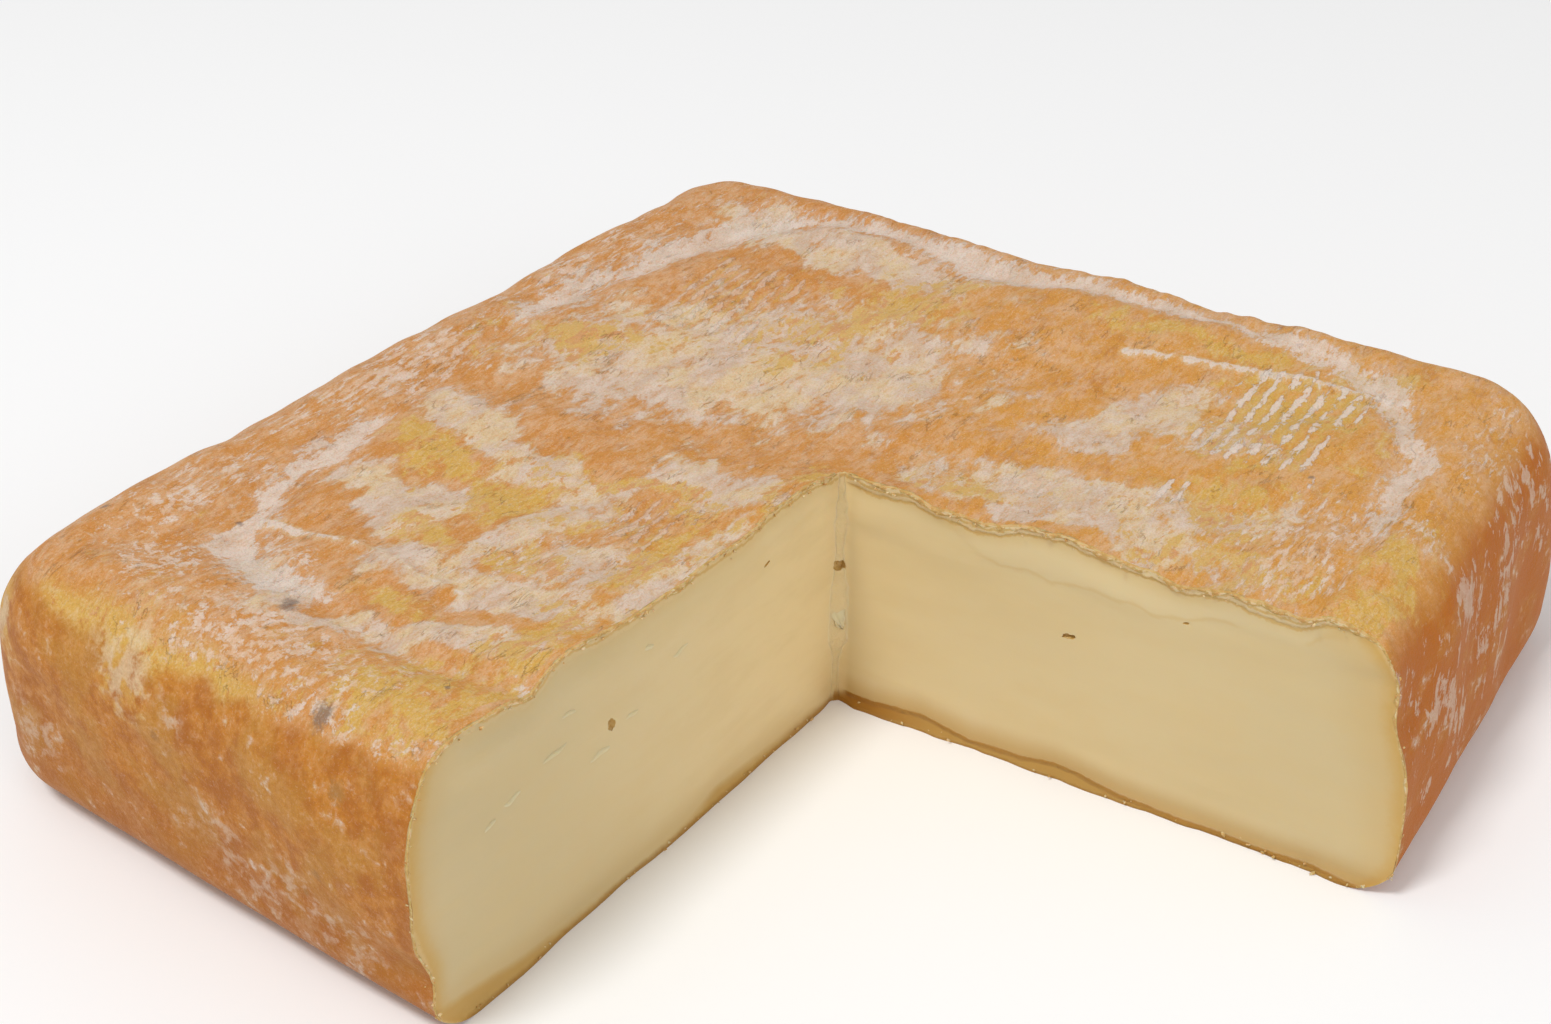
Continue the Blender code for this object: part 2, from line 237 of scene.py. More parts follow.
MUSTARD_PLACES = (
    (-5, -36, 16, 3.4, 88), (-56, -26, 9, 5, -20), (-50, -29, 5, 3, 0), (-36, -33, 9, 6, 80),
    (-37, -47, 7, 3.5, 10), (-22, -47, 8, 4, 10), (-21, -31, 7, 3, 75), (-13, -84, 11, 7, 0),
    (-28, -66, 8, 2.4, 0), (-20, -17, 17, 2.4, 5), (1.5, -12, 11, 2, 90), (-5, -63, 13, 4.5, 88),
    (0, -77, 20, 2.4, 88), (60, 57, 12, 17, 0), (38, 75, 18, 3, 0), (64, 77, 9, 3, 0), (62, 27, 9, 7, 0),
    (72, 12, 14, 4, 0), (25, 13, 8, 3, 0), (93, 18, 15, 5, 88), (-20, 55, 20, 9, 60), (-60, 20, 14, 6, 30),
)
# Where the groove is worn and has little mould
BARE_PLACES = ((82, 12, 20, 14, 90), (-22, -77, 24, 8, 0), (-72, -2, 20, 8, 90), (-71, -60, 3, 6, 0))
# Soft ovals on the sides, in millimetres: run, height, half length, half width, and turn in degrees
FRONT_PALE = ((-60, 41, 6, 8, 20), (-93, 37, 4, 7, 0))
FRONT_VEINED = ((-28, 15, 26, 9, -12), (-47, 37, 6, 3, -20), (-86, 20, 7, 9, 0))
RIGHT_PALE = (
    (4, 37, 5, 9, 0), (15, 28, 6, 15, 10), (24, 26, 8, 9, -35), (38, 33, 12, 7, -40), (50, 22, 7, 12, -20),
    (70, 36, 16, 8, -20), (30, 14, 5, 8, 0),
)
# Grey mould and dark specks, in millimetres: place on the top and radius
SPECKS = (
    (-42.9, -74.1, 1.6), (-41.8, -75.8, 1.7), (-19.5, -91.8, 2.1), (71.2, 41.2, 0.7), (-68.5, -60, 0.7),
    (-88, -70, 0.9), (-6.5, -80, 0.6),
)
# Brown dents on the front, in millimetres: run, height and radius
DENTS = ((-13, 40, 2.0), (-18, 24, 1.3), (-52, 33, 1.2), (-93, 41, 1.0), (-22, 18, 0.8))


def paint(name, description, colour):
    """A colour that a user can change."""
    return FloatVectorProperty(
        name=name, description=description, subtype="COLOR", size=4, min=0, max=1, default=(*colour, 1))


def measure(name, description, length, shortest, longest):
    """A length that a user can change."""
    return FloatProperty(
        name=name, description=description, unit="LENGTH", min=shortest, max=longest, default=length)


def swing(name, description, degrees):
    """An angle that a user can change."""
    return FloatProperty(name=name, description=description, subtype="ANGLE", default=math.radians(degrees))


class RindLook(bpy.types.PropertyGroup):
    """Colours of the rind and the fineness of its relief."""

    orange: paint("Orange", "The ground colour on the left of the top", (0.585, 0.25, 0.058))
    golden: paint("Golden orange", "The ground colour on the right of the top", (0.635, 0.295, 0.055))
    deep_orange: paint("Deep orange", "The darker ground colour", (0.39, 0.122, 0.011))
    end_orange: paint("End orange", "The deeper ground colour on the right side", (0.45, 0.118, 0.001))
    side_orange: paint("Side orange", "The lighter ground colour on the sides", (0.52, 0.196, 0.020))
    olive: paint("Olive", "The yellower ground colour on the sides", (0.50, 0.250, 0.040))
    mustard: paint("Mustard", "The yellow patches", (0.63, 0.375, 0.080))
    blush: paint("Blush", "The thin veil that mottles the bare rind", (0.69, 0.44, 0.26))
    cream: paint("Cream", "The film over the pale zones", (0.70, 0.545, 0.335))
    lilac: paint("Lilac", "The greyer part of that film", (0.61, 0.475, 0.37))
    white: paint("White", "The mould in the groove, on the ribs and in flakes", (0.73, 0.615, 0.53))
    # Also painted as shade in the creases of the film's folds
    wrinkle: paint("Wrinkle", "The fine dark lines of the folds", (0.36, 0.17, 0.045))
    speck: paint("Speck", "The few spots of grey mould", (0.17, 0.13, 0.11))
    rib_spacing: measure("Rib spacing", "From one mat rib to the next", 2.9 * MM, 0.001, 0.01)
    rib_height: measure("Rib height", "How far the mat ribs stand up", 0.42 * MM, 0, 0.002)
    wrinkle_height: measure("Wrinkle height", "Height of the rind's small folds", 0.16 * MM, 0, 0.002)


class PasteLook(bpy.types.PropertyGroup):
    """Colours of the cut paste and the raggedness of its edges."""

    straw: paint("Straw", "The paste's colour in the middle", (0.71, 0.555, 0.30))
    # Painted light: the paste is lightened towards this colour near the inner edge, against the corner's
    # shade
    bright: paint("Bright straw", "The lighter paste towards the inner edge", (0.81, 0.635, 0.345))
    # Painted shade: the paste takes this colour towards the outer ends of both cuts, and by half over the
    # whole right cut
    shaded: paint("Shaded straw", "The duller paste towards the outer ends", (0.59, 0.465, 0.25))
    ochre_straw: paint("Ochre straw", "The paste's soft darker clouds", (0.64, 0.475, 0.225))
    # Also the painted highlight on the torn flap and the ridges
    cream: paint("Cream", "The film of paste that the knife dragged down", (0.74, 0.62, 0.38))
    ochre: paint("Ochre", "The ripened band under the rind", (0.56, 0.345, 0.095))
    foot_ochre: paint("Foot ochre", "The rind in section along the foot", (0.43, 0.228, 0.038))
    # Also painted shade over the foot band near the inner corner
    foot: paint("Foot", "The brown line along the foot", (0.33, 0.135, 0.010))
    # Also painted as the highlight on the ridge of the inner edge
    crust: paint("Crust", "The torn rind in section and its crumbs", (0.74, 0.58, 0.34))
    crumb_grain: paint("Crumb grain", "The darker grain of the crumbs", (0.50, 0.30, 0.11))
    crumb_size: measure("Crumb size", "A middling crumb's length", 0.7 * MM, 0.0002, 0.004)
    crumb_spacing: measure("Crumb spacing", "From one crumb to the next", 1.1 * MM, 0.0002, 0.01)
    seed: IntProperty(name="Seed", description="Changes how the crumbs fall", min=0, default=4)


class StudioLook(bpy.types.PropertyGroup):
    """The floor, the lamps and the camera."""

    floor: paint("Floor", "The floor's colour", (0.93, 0.93, 0.93))
    air: FloatProperty(name="Air", description="Strength of the light from all round", min=0, default=0.56)
    key: FloatProperty(name="Key", description="Power of the lamp in front, in watts", min=0, default=16)
    fill: FloatProperty(name="Fill", description="Power of the lamp on the right, in watts", min=0, default=4)
    azimuth: swing("Azimuth", "The camera's place round the cheese", 34.184)
    elevation: swing("Elevation", "The camera's height above the horizon", 32.75)
    roll: swing("Roll", "The camera's tilt", -1.204)
    distance: measure("Distance", "From the camera to the point it looks at", 387.19 * MM, 0.1, 10)
    focal_pixels: FloatProperty(
        name="Focal length", description="In pixels of the photograph", min=1, default=2248.3)


def clear_selection():
    if bpy.context.object and bpy.context.object.mode != "OBJECT":
        bpy.ops.object.mode_set(mode="OBJECT")
    bpy.ops.object.select_all(action="DESELECT")


def pick(piece):
    """Makes a piece the only one selected, and the active one."""
    clear_selection()
    piece.select_set(True)
    bpy.context.view_layer.objects.active = piece


def choose(piece, kind, test):
    """In edit mode, selects the faces, edges or vertices that pass a test."""
    bpy.ops.mesh.select_mode(type={"faces": "FACE", "edges": "EDGE", "verts": "VERT"}[kind])
    bpy.ops.mesh.select_all(action="DESELECT")
    shape = bmesh.from_edit_mesh(piece.data)
    shape.normal_update()
    for part in getattr(shape, kind):
        if test(part):
            part.select_set(True)
    shape.select_flush_mode()
    bmesh.update_edit_mesh(piece.data)


def turn_outwards(piece):
    """Makes the faces of a closed piece point outwards and smooths it."""
    pick(piece)
    bpy.ops.object.mode_set(mode="EDIT")
    bpy.ops.mesh.select_all(action="SELECT")
    bpy.ops.mesh.normals_make_consistent(inside=False)
    bpy.ops.object.mode_set(mode="OBJECT")
    bpy.ops.object.shade_smooth()


def joined(pieces):
    """Joins pieces into the first of them."""
    clear_selection()
    for piece in pieces:
        piece.select_set(True)
    bpy.context.view_layer.objects.active = pieces[0]
    bpy.ops.object.join()
    return bpy.context.view_layer.objects.active


def points_of(piece):
    flat = np.zeros(len(piece.data.vertices) * 3)
    piece.data.vertices.foreach_get("co", flat)
    return flat.reshape(-1, 3)


def place_points(piece, points):
    piece.data.vertices.foreach_set("co", np.asarray(points, dtype=np.float32).ravel())
    piece.data.update()


def mark(piece, name, values):
    """Writes a number for each point, for the finishes to read."""
    attribute = piece.data.attributes.new(name, "FLOAT", "POINT")
    attribute.data.foreach_set("value", np.asarray(values, dtype=np.float32))


def eased(share):
    """0 to 1 with a soft start and a soft end."""
    share = np.clip(share, 0, 1)
    return share * share * (3 - 2 * share)


def bump(offset, half_width):
    """A soft hill of height 1 that fades over its half width."""
    return np.exp(-(offset / half_width) ** 2)


def uneven(a, b, length, seed, waves=6):
    """A soft uneven field, mostly between -1 and 1, with bumps about as long as the length."""
    draw = np.random.default_rng(seed)
    total = np.zeros(np.shape(a))
    for _ in range(waves):
        turn = draw.uniform(0, 2 * math.pi)
        along = a * math.cos(turn) + b * math.sin(turn)
        total += np.sin(2 * math.pi * along / (length * draw.uniform(0.75, 1.35)) + draw.uniform(0, 6))
    return total / math.sqrt(2 * waves)


def rough(points, length, seed):
    """A crumbly field, mostly between -1 and 1, for points in space."""
    shift = Vector((seed * 7.3, seed * 3.1, seed * 5.7))
    return np.array([noise.fractal(Vector(point) / length + shift, 0.8, 2.1, 3) for point in points])


def rounded(a, b, centre_a, centre_b):
    """Moves what lies in a square corner beyond the centre onto arcs about that centre."""
    over_a = a - centre_a
    over_b = b - centre_b
    corner = (over_a > 0) & (over_b > 0)
    share = np.maximum(over_a, over_b) / np.where(corner, np.hypot(over_a, over_b), 1)
    return np.where(corner, centre_a + over_a * share, a), np.where(corner, centre_b + over_b * share, b)


def side_line(side, level):
    """A side's line at a share of the height: the direction it faces and its reach."""
    reach, turn, spread = side
    facing = np.array((math.cos(math.radians(turn)), math.sin(math.radians(turn))))
    return facing, reach + (0.5 - level) * spread


def crossing(side_a, side_b, level):
    """The corner where two sides meet."""
    (na, ra), (nb, rb) = side_line(side_a, level), side_line(side_b, level)
    across = na[0] * nb[1] - na[1] * nb[0]
    return np.stack([(ra * nb[1] - rb * na[1]) / across, (rb * na[0] - ra * nb[0]) / across], -1)


def reached(start, turn, side, level):
    """Where a line from the inner edge meets a side."""
    way = np.array((math.cos(math.radians(turn)), math.sin(math.radians(turn))))
    facing, reach = side_line(side, level)
    run = (reach - start @ facing) / (way @ facing)
    return start + run[..., None] * way


def placed(across, along, level):
    """Fits the plain square's plan to the four leaning sides, quarter by quarter."""
    inner = np.multiply.outer(level, np.array(INNER_LEAN))
    right = reached(inner, RIGHT_CUT_TURN, RIGHT, level)
    front = reached(inner, LEFT_CUT_TURN, FRONT, level)
    left = reached(inner, 180, LEFT, level)
    back = reached(inner, 90, BACK, level)
    to_right, to_back = (across >= 0)[:, None], (along >= 0)[:, None]
    side_point = np.where(to_right, right, left)
    end_point = np.where(to_back, back, front)
    corner = np.where(
        to_right,
        np.where(to_back, crossing(RIGHT, BACK, level), crossing(RIGHT, FRONT, level)),
        np.where(to_back, crossing(LEFT, BACK, level), crossing(LEFT, FRONT, level)),
    )
    a = np.abs(across)[:, None] / HALF
    b = np.abs(along)[:, None] / HALF
    return (1 - a) * (1 - b) * inner + a * (1 - b) * side_point + (1 - a) * b * end_point + a * b * corner


def groove_offset(x, y):
    """How far outside the middle of the pressed groove a place of the top lies."""
    power = GROOVE_SQUARENESS
    reach = (np.abs(x - GROOVE_MIDDLE[0]) ** power + np.abs(y - GROOVE_MIDDLE[1]) ** power) ** (1 / power)
    return reach - GROOVE_REACH + 2.5 * MM * uneven(x, y, 60 * MM, seed=3)


def rib_phase(x, y, spacing):
    """Counts the mat's ribs across the top; they run along Y and wander a little."""
    return (x + 0.05 * y + 0.55 * MM * uneven(x * 0.6, y, 17 * MM, seed=51)) / spacing


def rib_field(x, y):
    """1 inside the fields of ribs, 0 outside them."""
    field = np.zeros(np.shape(x))
    fray = 2.5 * MM * uneven(x, y, 11 * MM, seed=52)
    for middle_x, middle_y, half_width, half_length in RIB_FIELDS:
        inside_x = eased((half_width - np.abs(x - middle_x) + fray) / (3 * MM))
        inside_y = eased((half_length - np.abs(y - middle_y) + fray) / (4 * MM))
        field = np.maximum(field, inside_x * inside_y)
    return field


def from_line(x, y, points):
    """How far a place lies from a bent line; all in millimetres."""
    nearest = np.full(np.shape(x), 999.0)
    for (start_x, start_y), (end_x, end_y) in zip(points, points[1:]):
        way_x, way_y = end_x - start_x, end_y - start_y
        share = np.clip(((x - start_x) * way_x + (y - start_y) * way_y) / (way_x ** 2 + way_y ** 2), 0, 1)
        nearest = np.minimum(nearest, np.hypot(x - start_x - share * way_x, y - start_y - share * way_y))
    return nearest


def top_relief(x, y):
    """How far the top rises or sinks at a place, for its groove, its lumps and its two cut edges."""
    relief = -GROOVE_DEPTH * bump(groove_offset(x, y), GROOVE_HALF_WIDTH)
    relief += LUMP_HEIGHT * uneven(x, y, 42 * MM, seed=5)
    relief += DIMPLE_HEIGHT * uneven(x, y, 13 * MM, seed=8)
    relief += LEFT_EDGE_RISE * eased(-y / (15 * MM)) * bump(x, RISE_WIDTH)
    for run, rise, half_width in LEFT_EDGE_WAVES:
        relief += rise * bump(y + run, half_width) * bump(x, WAVE_REACH)
    for run, rise, half_width in RIGHT_EDGE_WAVES:
        relief += rise * bump(x - run, half_width) * bump(y, WAVE_REACH)
    return relief


def fine_relief(x, y, look):
    """The top's small relief: mat ribs, folds beside the groove and a fine unevenness."""
    ribs = 0.5 + 0.5 * np.sin(2 * math.pi * rib_phase(x, y, look.rib_spacing))
    relief = look.rib_height * (ribs - 0.5) * rib_field(x, y)
    folds = uneven(x * 2.4, y * 0.6, 9 * MM, seed=61, waves=9)
    folds = folds + 0.6 * uneven(x, y * 0.4, 4 * MM, seed=62, waves=9)
    relief += look.wrinkle_height * folds * (1 - 0.8 * eased((groove_offset(x, y) - 4 * MM) / (8 * MM)))
    beside = bump(groove_offset(x, y) - 5 * MM, 3.5 * MM)
    relief += 0.16 * MM * beside * uneven(x, y, 5 * MM, seed=63)
    for points, height, half_width in FOLDS:
        relief += height * MM * bump(from_line(x / MM, y / MM, points), half_width)
    for middle_x, middle_y, half_width, height in BLISTERS:
        relief += height * bump(np.hypot(x - middle_x, y - middle_y), half_width)
    return relief


def cut_relief(run, drop, up, seed, ragged_share=1.0):
    """How far a cut face stands out, by the run along it, the drop below its edge and the height."""
    relief = CUT_WAVE * uneven(run, up * 1.6, 38 * MM, seed)
    roll = CUT_ROLL * (0.6 + 0.6 * uneven(run, up, 24 * MM, seed + 1))
    relief += roll * bump(drop - ROLL_DROP, ROLL_HALF_WIDTH)
    torn_lip = 0.7 + 0.7 * uneven(run, up * 0, 8 * MM, seed + 2) + 0.5 * uneven(run, up, 2.6 * MM, seed + 5)
    relief += ragged_share * LIP_OUT * torn_lip * (1 - eased(drop / LIP_DEPTH))
    torn_foot = 0.35 * uneven(run, up * 0, 10 * MM, seed + 3) + 0.1 * uneven(run, up, 3 * MM, seed + 6)
    flare = FOOT_FLARE * (0.7 + ragged_share * torn_foot)
    relief += flare * (1 - eased(up / FLARE_HEIGHT))
    relief += 0.07 * MM * uneven(run * 0.6, up * 2.5, 12 * MM, seed + 7)
    return relief * eased(run / (5 * MM))


def top_height(x, y, look):
    """The top's height at a place seen from above."""
    risen = np.minimum(np.maximum(np.abs(x), np.abs(y)) / RISE_REACH, 1) ** 2
    return MIDDLE_HEIGHT + EDGE_RISE * risen + top_relief(x, y) + fine_relief(x, y, look)


def end_relief(across, along, share):
    """How far the sides stand out beside the outer ends of the two cuts."""
    relief = np.zeros(np.shape(share))
    for level, rise in FRONT_END_WAVES:
        relief += rise * (along < 0) * bump(across, END_REACH) * bump(share - level, END_WAVE_SPAN)
    for level, rise in RIGHT_END_WAVES:
        relief += rise * (across > 0) * bump(along, END_REACH) * bump(share - level, END_WAVE_SPAN)
    return relief


def smear(run, drop):
    """1 on the thin film of paste that the knife dragged down below the right cut's upper edge, 0 off it."""
    runs, drops = zip(*SMEAR_LINE)
    line = np.interp(run / MM, runs, drops) * MM + 0.5 * MM * uneven(run, run * 0, 6 * MM, seed=47)
    ends = eased((run - 18 * MM) / (8 * MM)) * eased((92 * MM - run) / (12 * MM))
    return ends * eased((line - drop) / (1.8 * MM) + 0.5)


def inner_fill(z):
    """How far the narrow strip of paste in the inner edge reaches along each cut at a height."""
    torn = 0.35 * uneven(z, z * 0, 9 * MM, seed=25) + 0.22 * uneven(z, z * 0, 3 * MM, seed=26)
    return INNER_FILL * (0.8 + torn + 0.9 * eased((z - 8 * MM) / (6 * MM)) * eased((27 * MM - z) / (4 * MM)))


def shaped(across, along, level, look):
    """The cheese's form: where each point of the plain square block comes to lie."""
    ring = np.maximum(np.abs(across), np.abs(along))
    out, up = rounded(ring, level * MIDDLE_HEIGHT, HALF - TOP_RIM, MIDDLE_HEIGHT - TOP_RIM)
    out, down = rounded(out, MIDDLE_HEIGHT - up, HALF - FOOT_RIM, MIDDLE_HEIGHT - FOOT_RIM)
    up = MIDDLE_HEIGHT - down
    share = up / MIDDLE_HEIGHT
    swell = BELLY * (np.sin(math.pi * np.clip(share, 0, 1)) - 1)
    lumps = SIDE_LUMP * uneven(across + up, along - 0.6 * up, 30 * MM, seed=21)
    small = 0.07 * MM * uneven(across + 0.8 * up, along - 0.9 * up, 7 * MM, seed=22, waves=9)
    outer = eased((ring - HALF + 20 * MM) / (20 * MM))
    out = out + outer * (swell + (lumps + small) * eased(share / 0.3) + end_relief(across, along, share))
    grow = out / np.where(ring > 0, ring, 1)
    flat_x = np.abs(across) * grow
    flat_y = np.abs(along) * grow
    flat_x, flat_y = rounded(flat_x, flat_y, HALF - CORNER_RADIUS, HALF - CORNER_RADIUS)
    plan = placed(np.sign(across) * flat_x, np.where(along >= 0, flat_y, -flat_y), share)
    x, y = plan[:, 0], plan[:, 1]
    top = top_height(x, y, look)
    z = up + (top - MIDDLE_HEIGHT) * eased(share / 0.98) * share
    below_edge = np.maximum(top - z, 0)
    in_left = (along <= 0) * (across <= 0) * bump(across, CUT_SKIN)
    in_right = (along >= 0) * (across >= 0) * bump(along, CUT_SKIN)
    x = x + in_left * cut_relief(-along, below_edge, z, seed=31, ragged_share=0.35)
    y = y - in_right * (cut_relief(across, below_edge, z, seed=41) + SMEAR_HEIGHT * smear(across, below_edge))
    from_inner = np.maximum(np.abs(across), np.abs(along))
    fill = 0.5 * np.maximum(inner_fill(z) - from_inner, 0)
    x = x + fill
    y = y - fill
    return np.stack([x + INNER_FOOT[0], y + INNER_FOOT[1], z], -1)


def rim_inset(level, waves):
    """How far inside a side's line its outline beside a cut lies, at a share of the height."""
    up = level * MIDDLE_HEIGHT
    over = np.clip(up - MIDDLE_HEIGHT + TOP_RIM, 0, TOP_RIM)
    under = np.clip(FOOT_RIM - up, 0, FOOT_RIM)
    inset = TOP_RIM + FOOT_RIM - np.sqrt(TOP_RIM ** 2 - over ** 2) - np.sqrt(FOOT_RIM ** 2 - under ** 2)
    for wave_level, rise in waves:
        inset -= rise * bump(level - wave_level, END_WAVE_SPAN)
    return inset


def pressed(room):
    """Room to a wall of the box, pressed so that it never falls below nothing."""
    narrow = EDGE_MARGIN * np.exp(np.minimum(room, EDGE_MARGIN) / EDGE_MARGIN - 1)
    return np.where(room < EDGE_MARGIN, narrow, room)


def held_in(points):
    """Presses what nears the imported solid's box back inside it, except at the flat underside."""
    low, high = (np.array(corner) for corner in CAD_BOX)
    held = points.copy()
    for axis in range(3):
        held[:, axis] = high[axis] - pressed(high[axis] - points[:, axis])
        if axis < 2:
            held[:, axis] = low[axis] + pressed(held[:, axis] - low[axis])
    held[:, 2] = np.maximum(held[:, 2], low[2])
    return held


def finer_at_start(share):
    return share * (1 - CUTS_FINER) + CUTS_FINER * share * share


def finer_at_ends(share):
    return share - ENDS_FINER * np.sin(2 * math.pi * share) / (2 * math.pi)


def form_block(piece, look):
    """Gives every point of the plain block its place in the cheese."""
    plain = points_of(piece)
    across = np.sign(plain[:, 0]) * finer_at_start(np.abs(plain[:, 0])) * HALF
    along = np.sign(plain[:, 1]) * finer_at_start(np.abs(plain[:, 1])) * HALF
    level = finer_at_ends(plain[:, 2])
    place_points(piece, held_in(shaped(across, along, level, look)))


def is_upright(edge):
    return abs(edge.verts[0].co.z - edge.verts[1].co.z) > 1e-4


def model_block():
    """A plain square block without its front right quarter, in fine even cells one unit apart."""
    clear_selection()
    bpy.ops.mesh.primitive_cube_add(size=1, location=(-0.5, 0.5, 0.5))
    block = bpy.context.object
    block.name = "cheese_body"
    bpy.ops.object.transform_apply(location=True, rotation=True, scale=True)
    bpy.ops.object.mode_set(mode="EDIT")
    choose(block, "faces", lambda face: face.normal.x > 0.9)
    bpy.ops.mesh.extrude_region_move(TRANSFORM_OT_translate={"value": (1, 0, 0)})
    choose(block, "faces", lambda face: face.normal.y < -0.9 and face.calc_center_median().x < 0)
    bpy.ops.mesh.extrude_region_move(TRANSFORM_OT_translate={"value": (0, -1, 0)})
    choose(block, "edges", lambda edge: not is_upright(edge))
    bpy.ops.mesh.subdivide(number_cuts=COARSE_ACROSS - 1)
    choose(block, "edges", is_upright)
    bpy.ops.mesh.subdivide(number_cuts=COARSE_UP - 1)
    bpy.ops.mesh.select_all(action="SELECT")
    bpy.ops.mesh.subdivide(number_cuts=1)
    bpy.ops.object.mode_set(mode="OBJECT")
    return block


def paint_cuts(block):
    """Gives the two cut faces of the plain block the paste's slot."""
    for face in block.data.polygons:
        middle, facing = face.center, face.normal
        on_left_cut = facing.x > 0.9 and abs(middle.x) < 1e-4
        on_right_cut = facing.y < -0.9 and abs(middle.y) < 1e-4
        face.material_index = PASTE_SLOT if on_left_cut or on_right_cut else 0


def close_underside(piece):
    """Makes the flat underside one face."""
    pick(piece)
    bpy.ops.object.mode_set(mode="EDIT")
    choose(piece, "faces", lambda face: all(vertex.co.z < 1e-7 for vertex in face.verts))
    bpy.ops.mesh.delete(type="FACE")
    choose(piece, "edges", lambda edge: edge.is_boundary)
    bpy.ops.mesh.edge_face_add()
    bpy.ops.mesh.select_all(action="SELECT")
    bpy.ops.mesh.normals_make_consistent(inside=False)
    bpy.ops.object.mode_set(mode="OBJECT")


def cut_point(across, along, height, look):
    """The point of a cut face at a place of the plain square block and a height."""
    return shaped(np.array([across]), np.array([along]), np.array([height / MIDDLE_HEIGHT]), look)[0]


def hollow_cutter(body, place, size, tilt):
    """A small lens that takes an eye out of the paste."""
    clear_selection()
    bpy.ops.mesh.primitive_uv_sphere_add(segments=20, ring_count=12, radius=0.5)
    cutter = bpy.context.object
    turned = Matrix.Translation(place) @ Euler(tilt).to_matrix().to_4x4() @ Matrix.Diagonal((*size, 1))
    cutter.data.transform(turned)
    points = points_of(cutter)
    frayed = 1 + 0.45 * rough(points, 0.9 * MM, 3)[:, None]
    place_points(cutter, place + (points - place) * frayed)
    for material in body.data.materials:
        cutter.data.materials.append(material)
    for face in cutter.data.polygons:
        face.material_index = EYE_SLOT
    return cutter


def cut_hollows(body, look):
    """Sinks the eyes into both cuts and tears the inner edge."""
    cutters = []
    for run, height, width, depth, tall in LEFT_EYES:
        place = cut_point(0, -run, height, look)
        cutters.append(hollow_cutter(body, place, (depth, width, tall), LEFT_EYE_TILT))
    for run, height, width, depth, tall in RIGHT_EYES:
        place = cut_point(run, 0, height, look)
        cutters.append(hollow_cutter(body, place, (width, depth, tall), RIGHT_EYE_TILT))
    cutters.append(hollow_cutter(body, cut_point(0, 0, TORN_HEIGHT, look), TORN_SIZE, TORN_TILT))
    tools = bpy.data.collections.new("cutters")
    for cutter in cutters:
        tools.objects.link(cutter)
    pick(body)
    hollow = body.modifiers.new("hollows", "BOOLEAN")
    hollow.operation = "DIFFERENCE"
    hollow.operand_type = "COLLECTION"
    hollow.collection = tools
    hollow.solver = "MANIFOLD"
    bpy.ops.object.modifier_apply(modifier="hollows")
    for cutter in cutters:
        bpy.data.objects.remove(cutter)
    bpy.data.collections.remove(tools)


def in_ovals(x, y, ovals):
    """1 in the middle of the nearest oval, 0 at its edge and less outside; the ovals are in millimetres."""
    inside = np.full(np.shape(x), -1.0)
    for middle_x, middle_y, half_length, half_width, turn in ovals:
        cos, sin = math.cos(math.radians(turn)), math.sin(math.radians(turn))
        over_x, over_y = x / MM - middle_x, y / MM - middle_y
        along = (over_x * cos + over_y * sin) / half_length
        across = (over_y * cos - over_x * sin) / half_width
        inside = np.maximum(inside, 1 - (np.abs(along) ** 3 + np.abs(across) ** 3) ** (1 / 3))
    return inside


def inside_side(x, y, side):
    """How far inside a side's line at half its height a place lies."""
    facing, reach = side_line(side, 0.5)
    return reach - (x * facing[0] + y * facing[1])


def inside_rim(inside, side, level, waves):
    """How far inside a side's real outline a place lies, from how far inside its line it lies."""
    return inside + side_line(side, level)[1] - side_line(side, 0.5)[1] - rim_inset(level, waves)


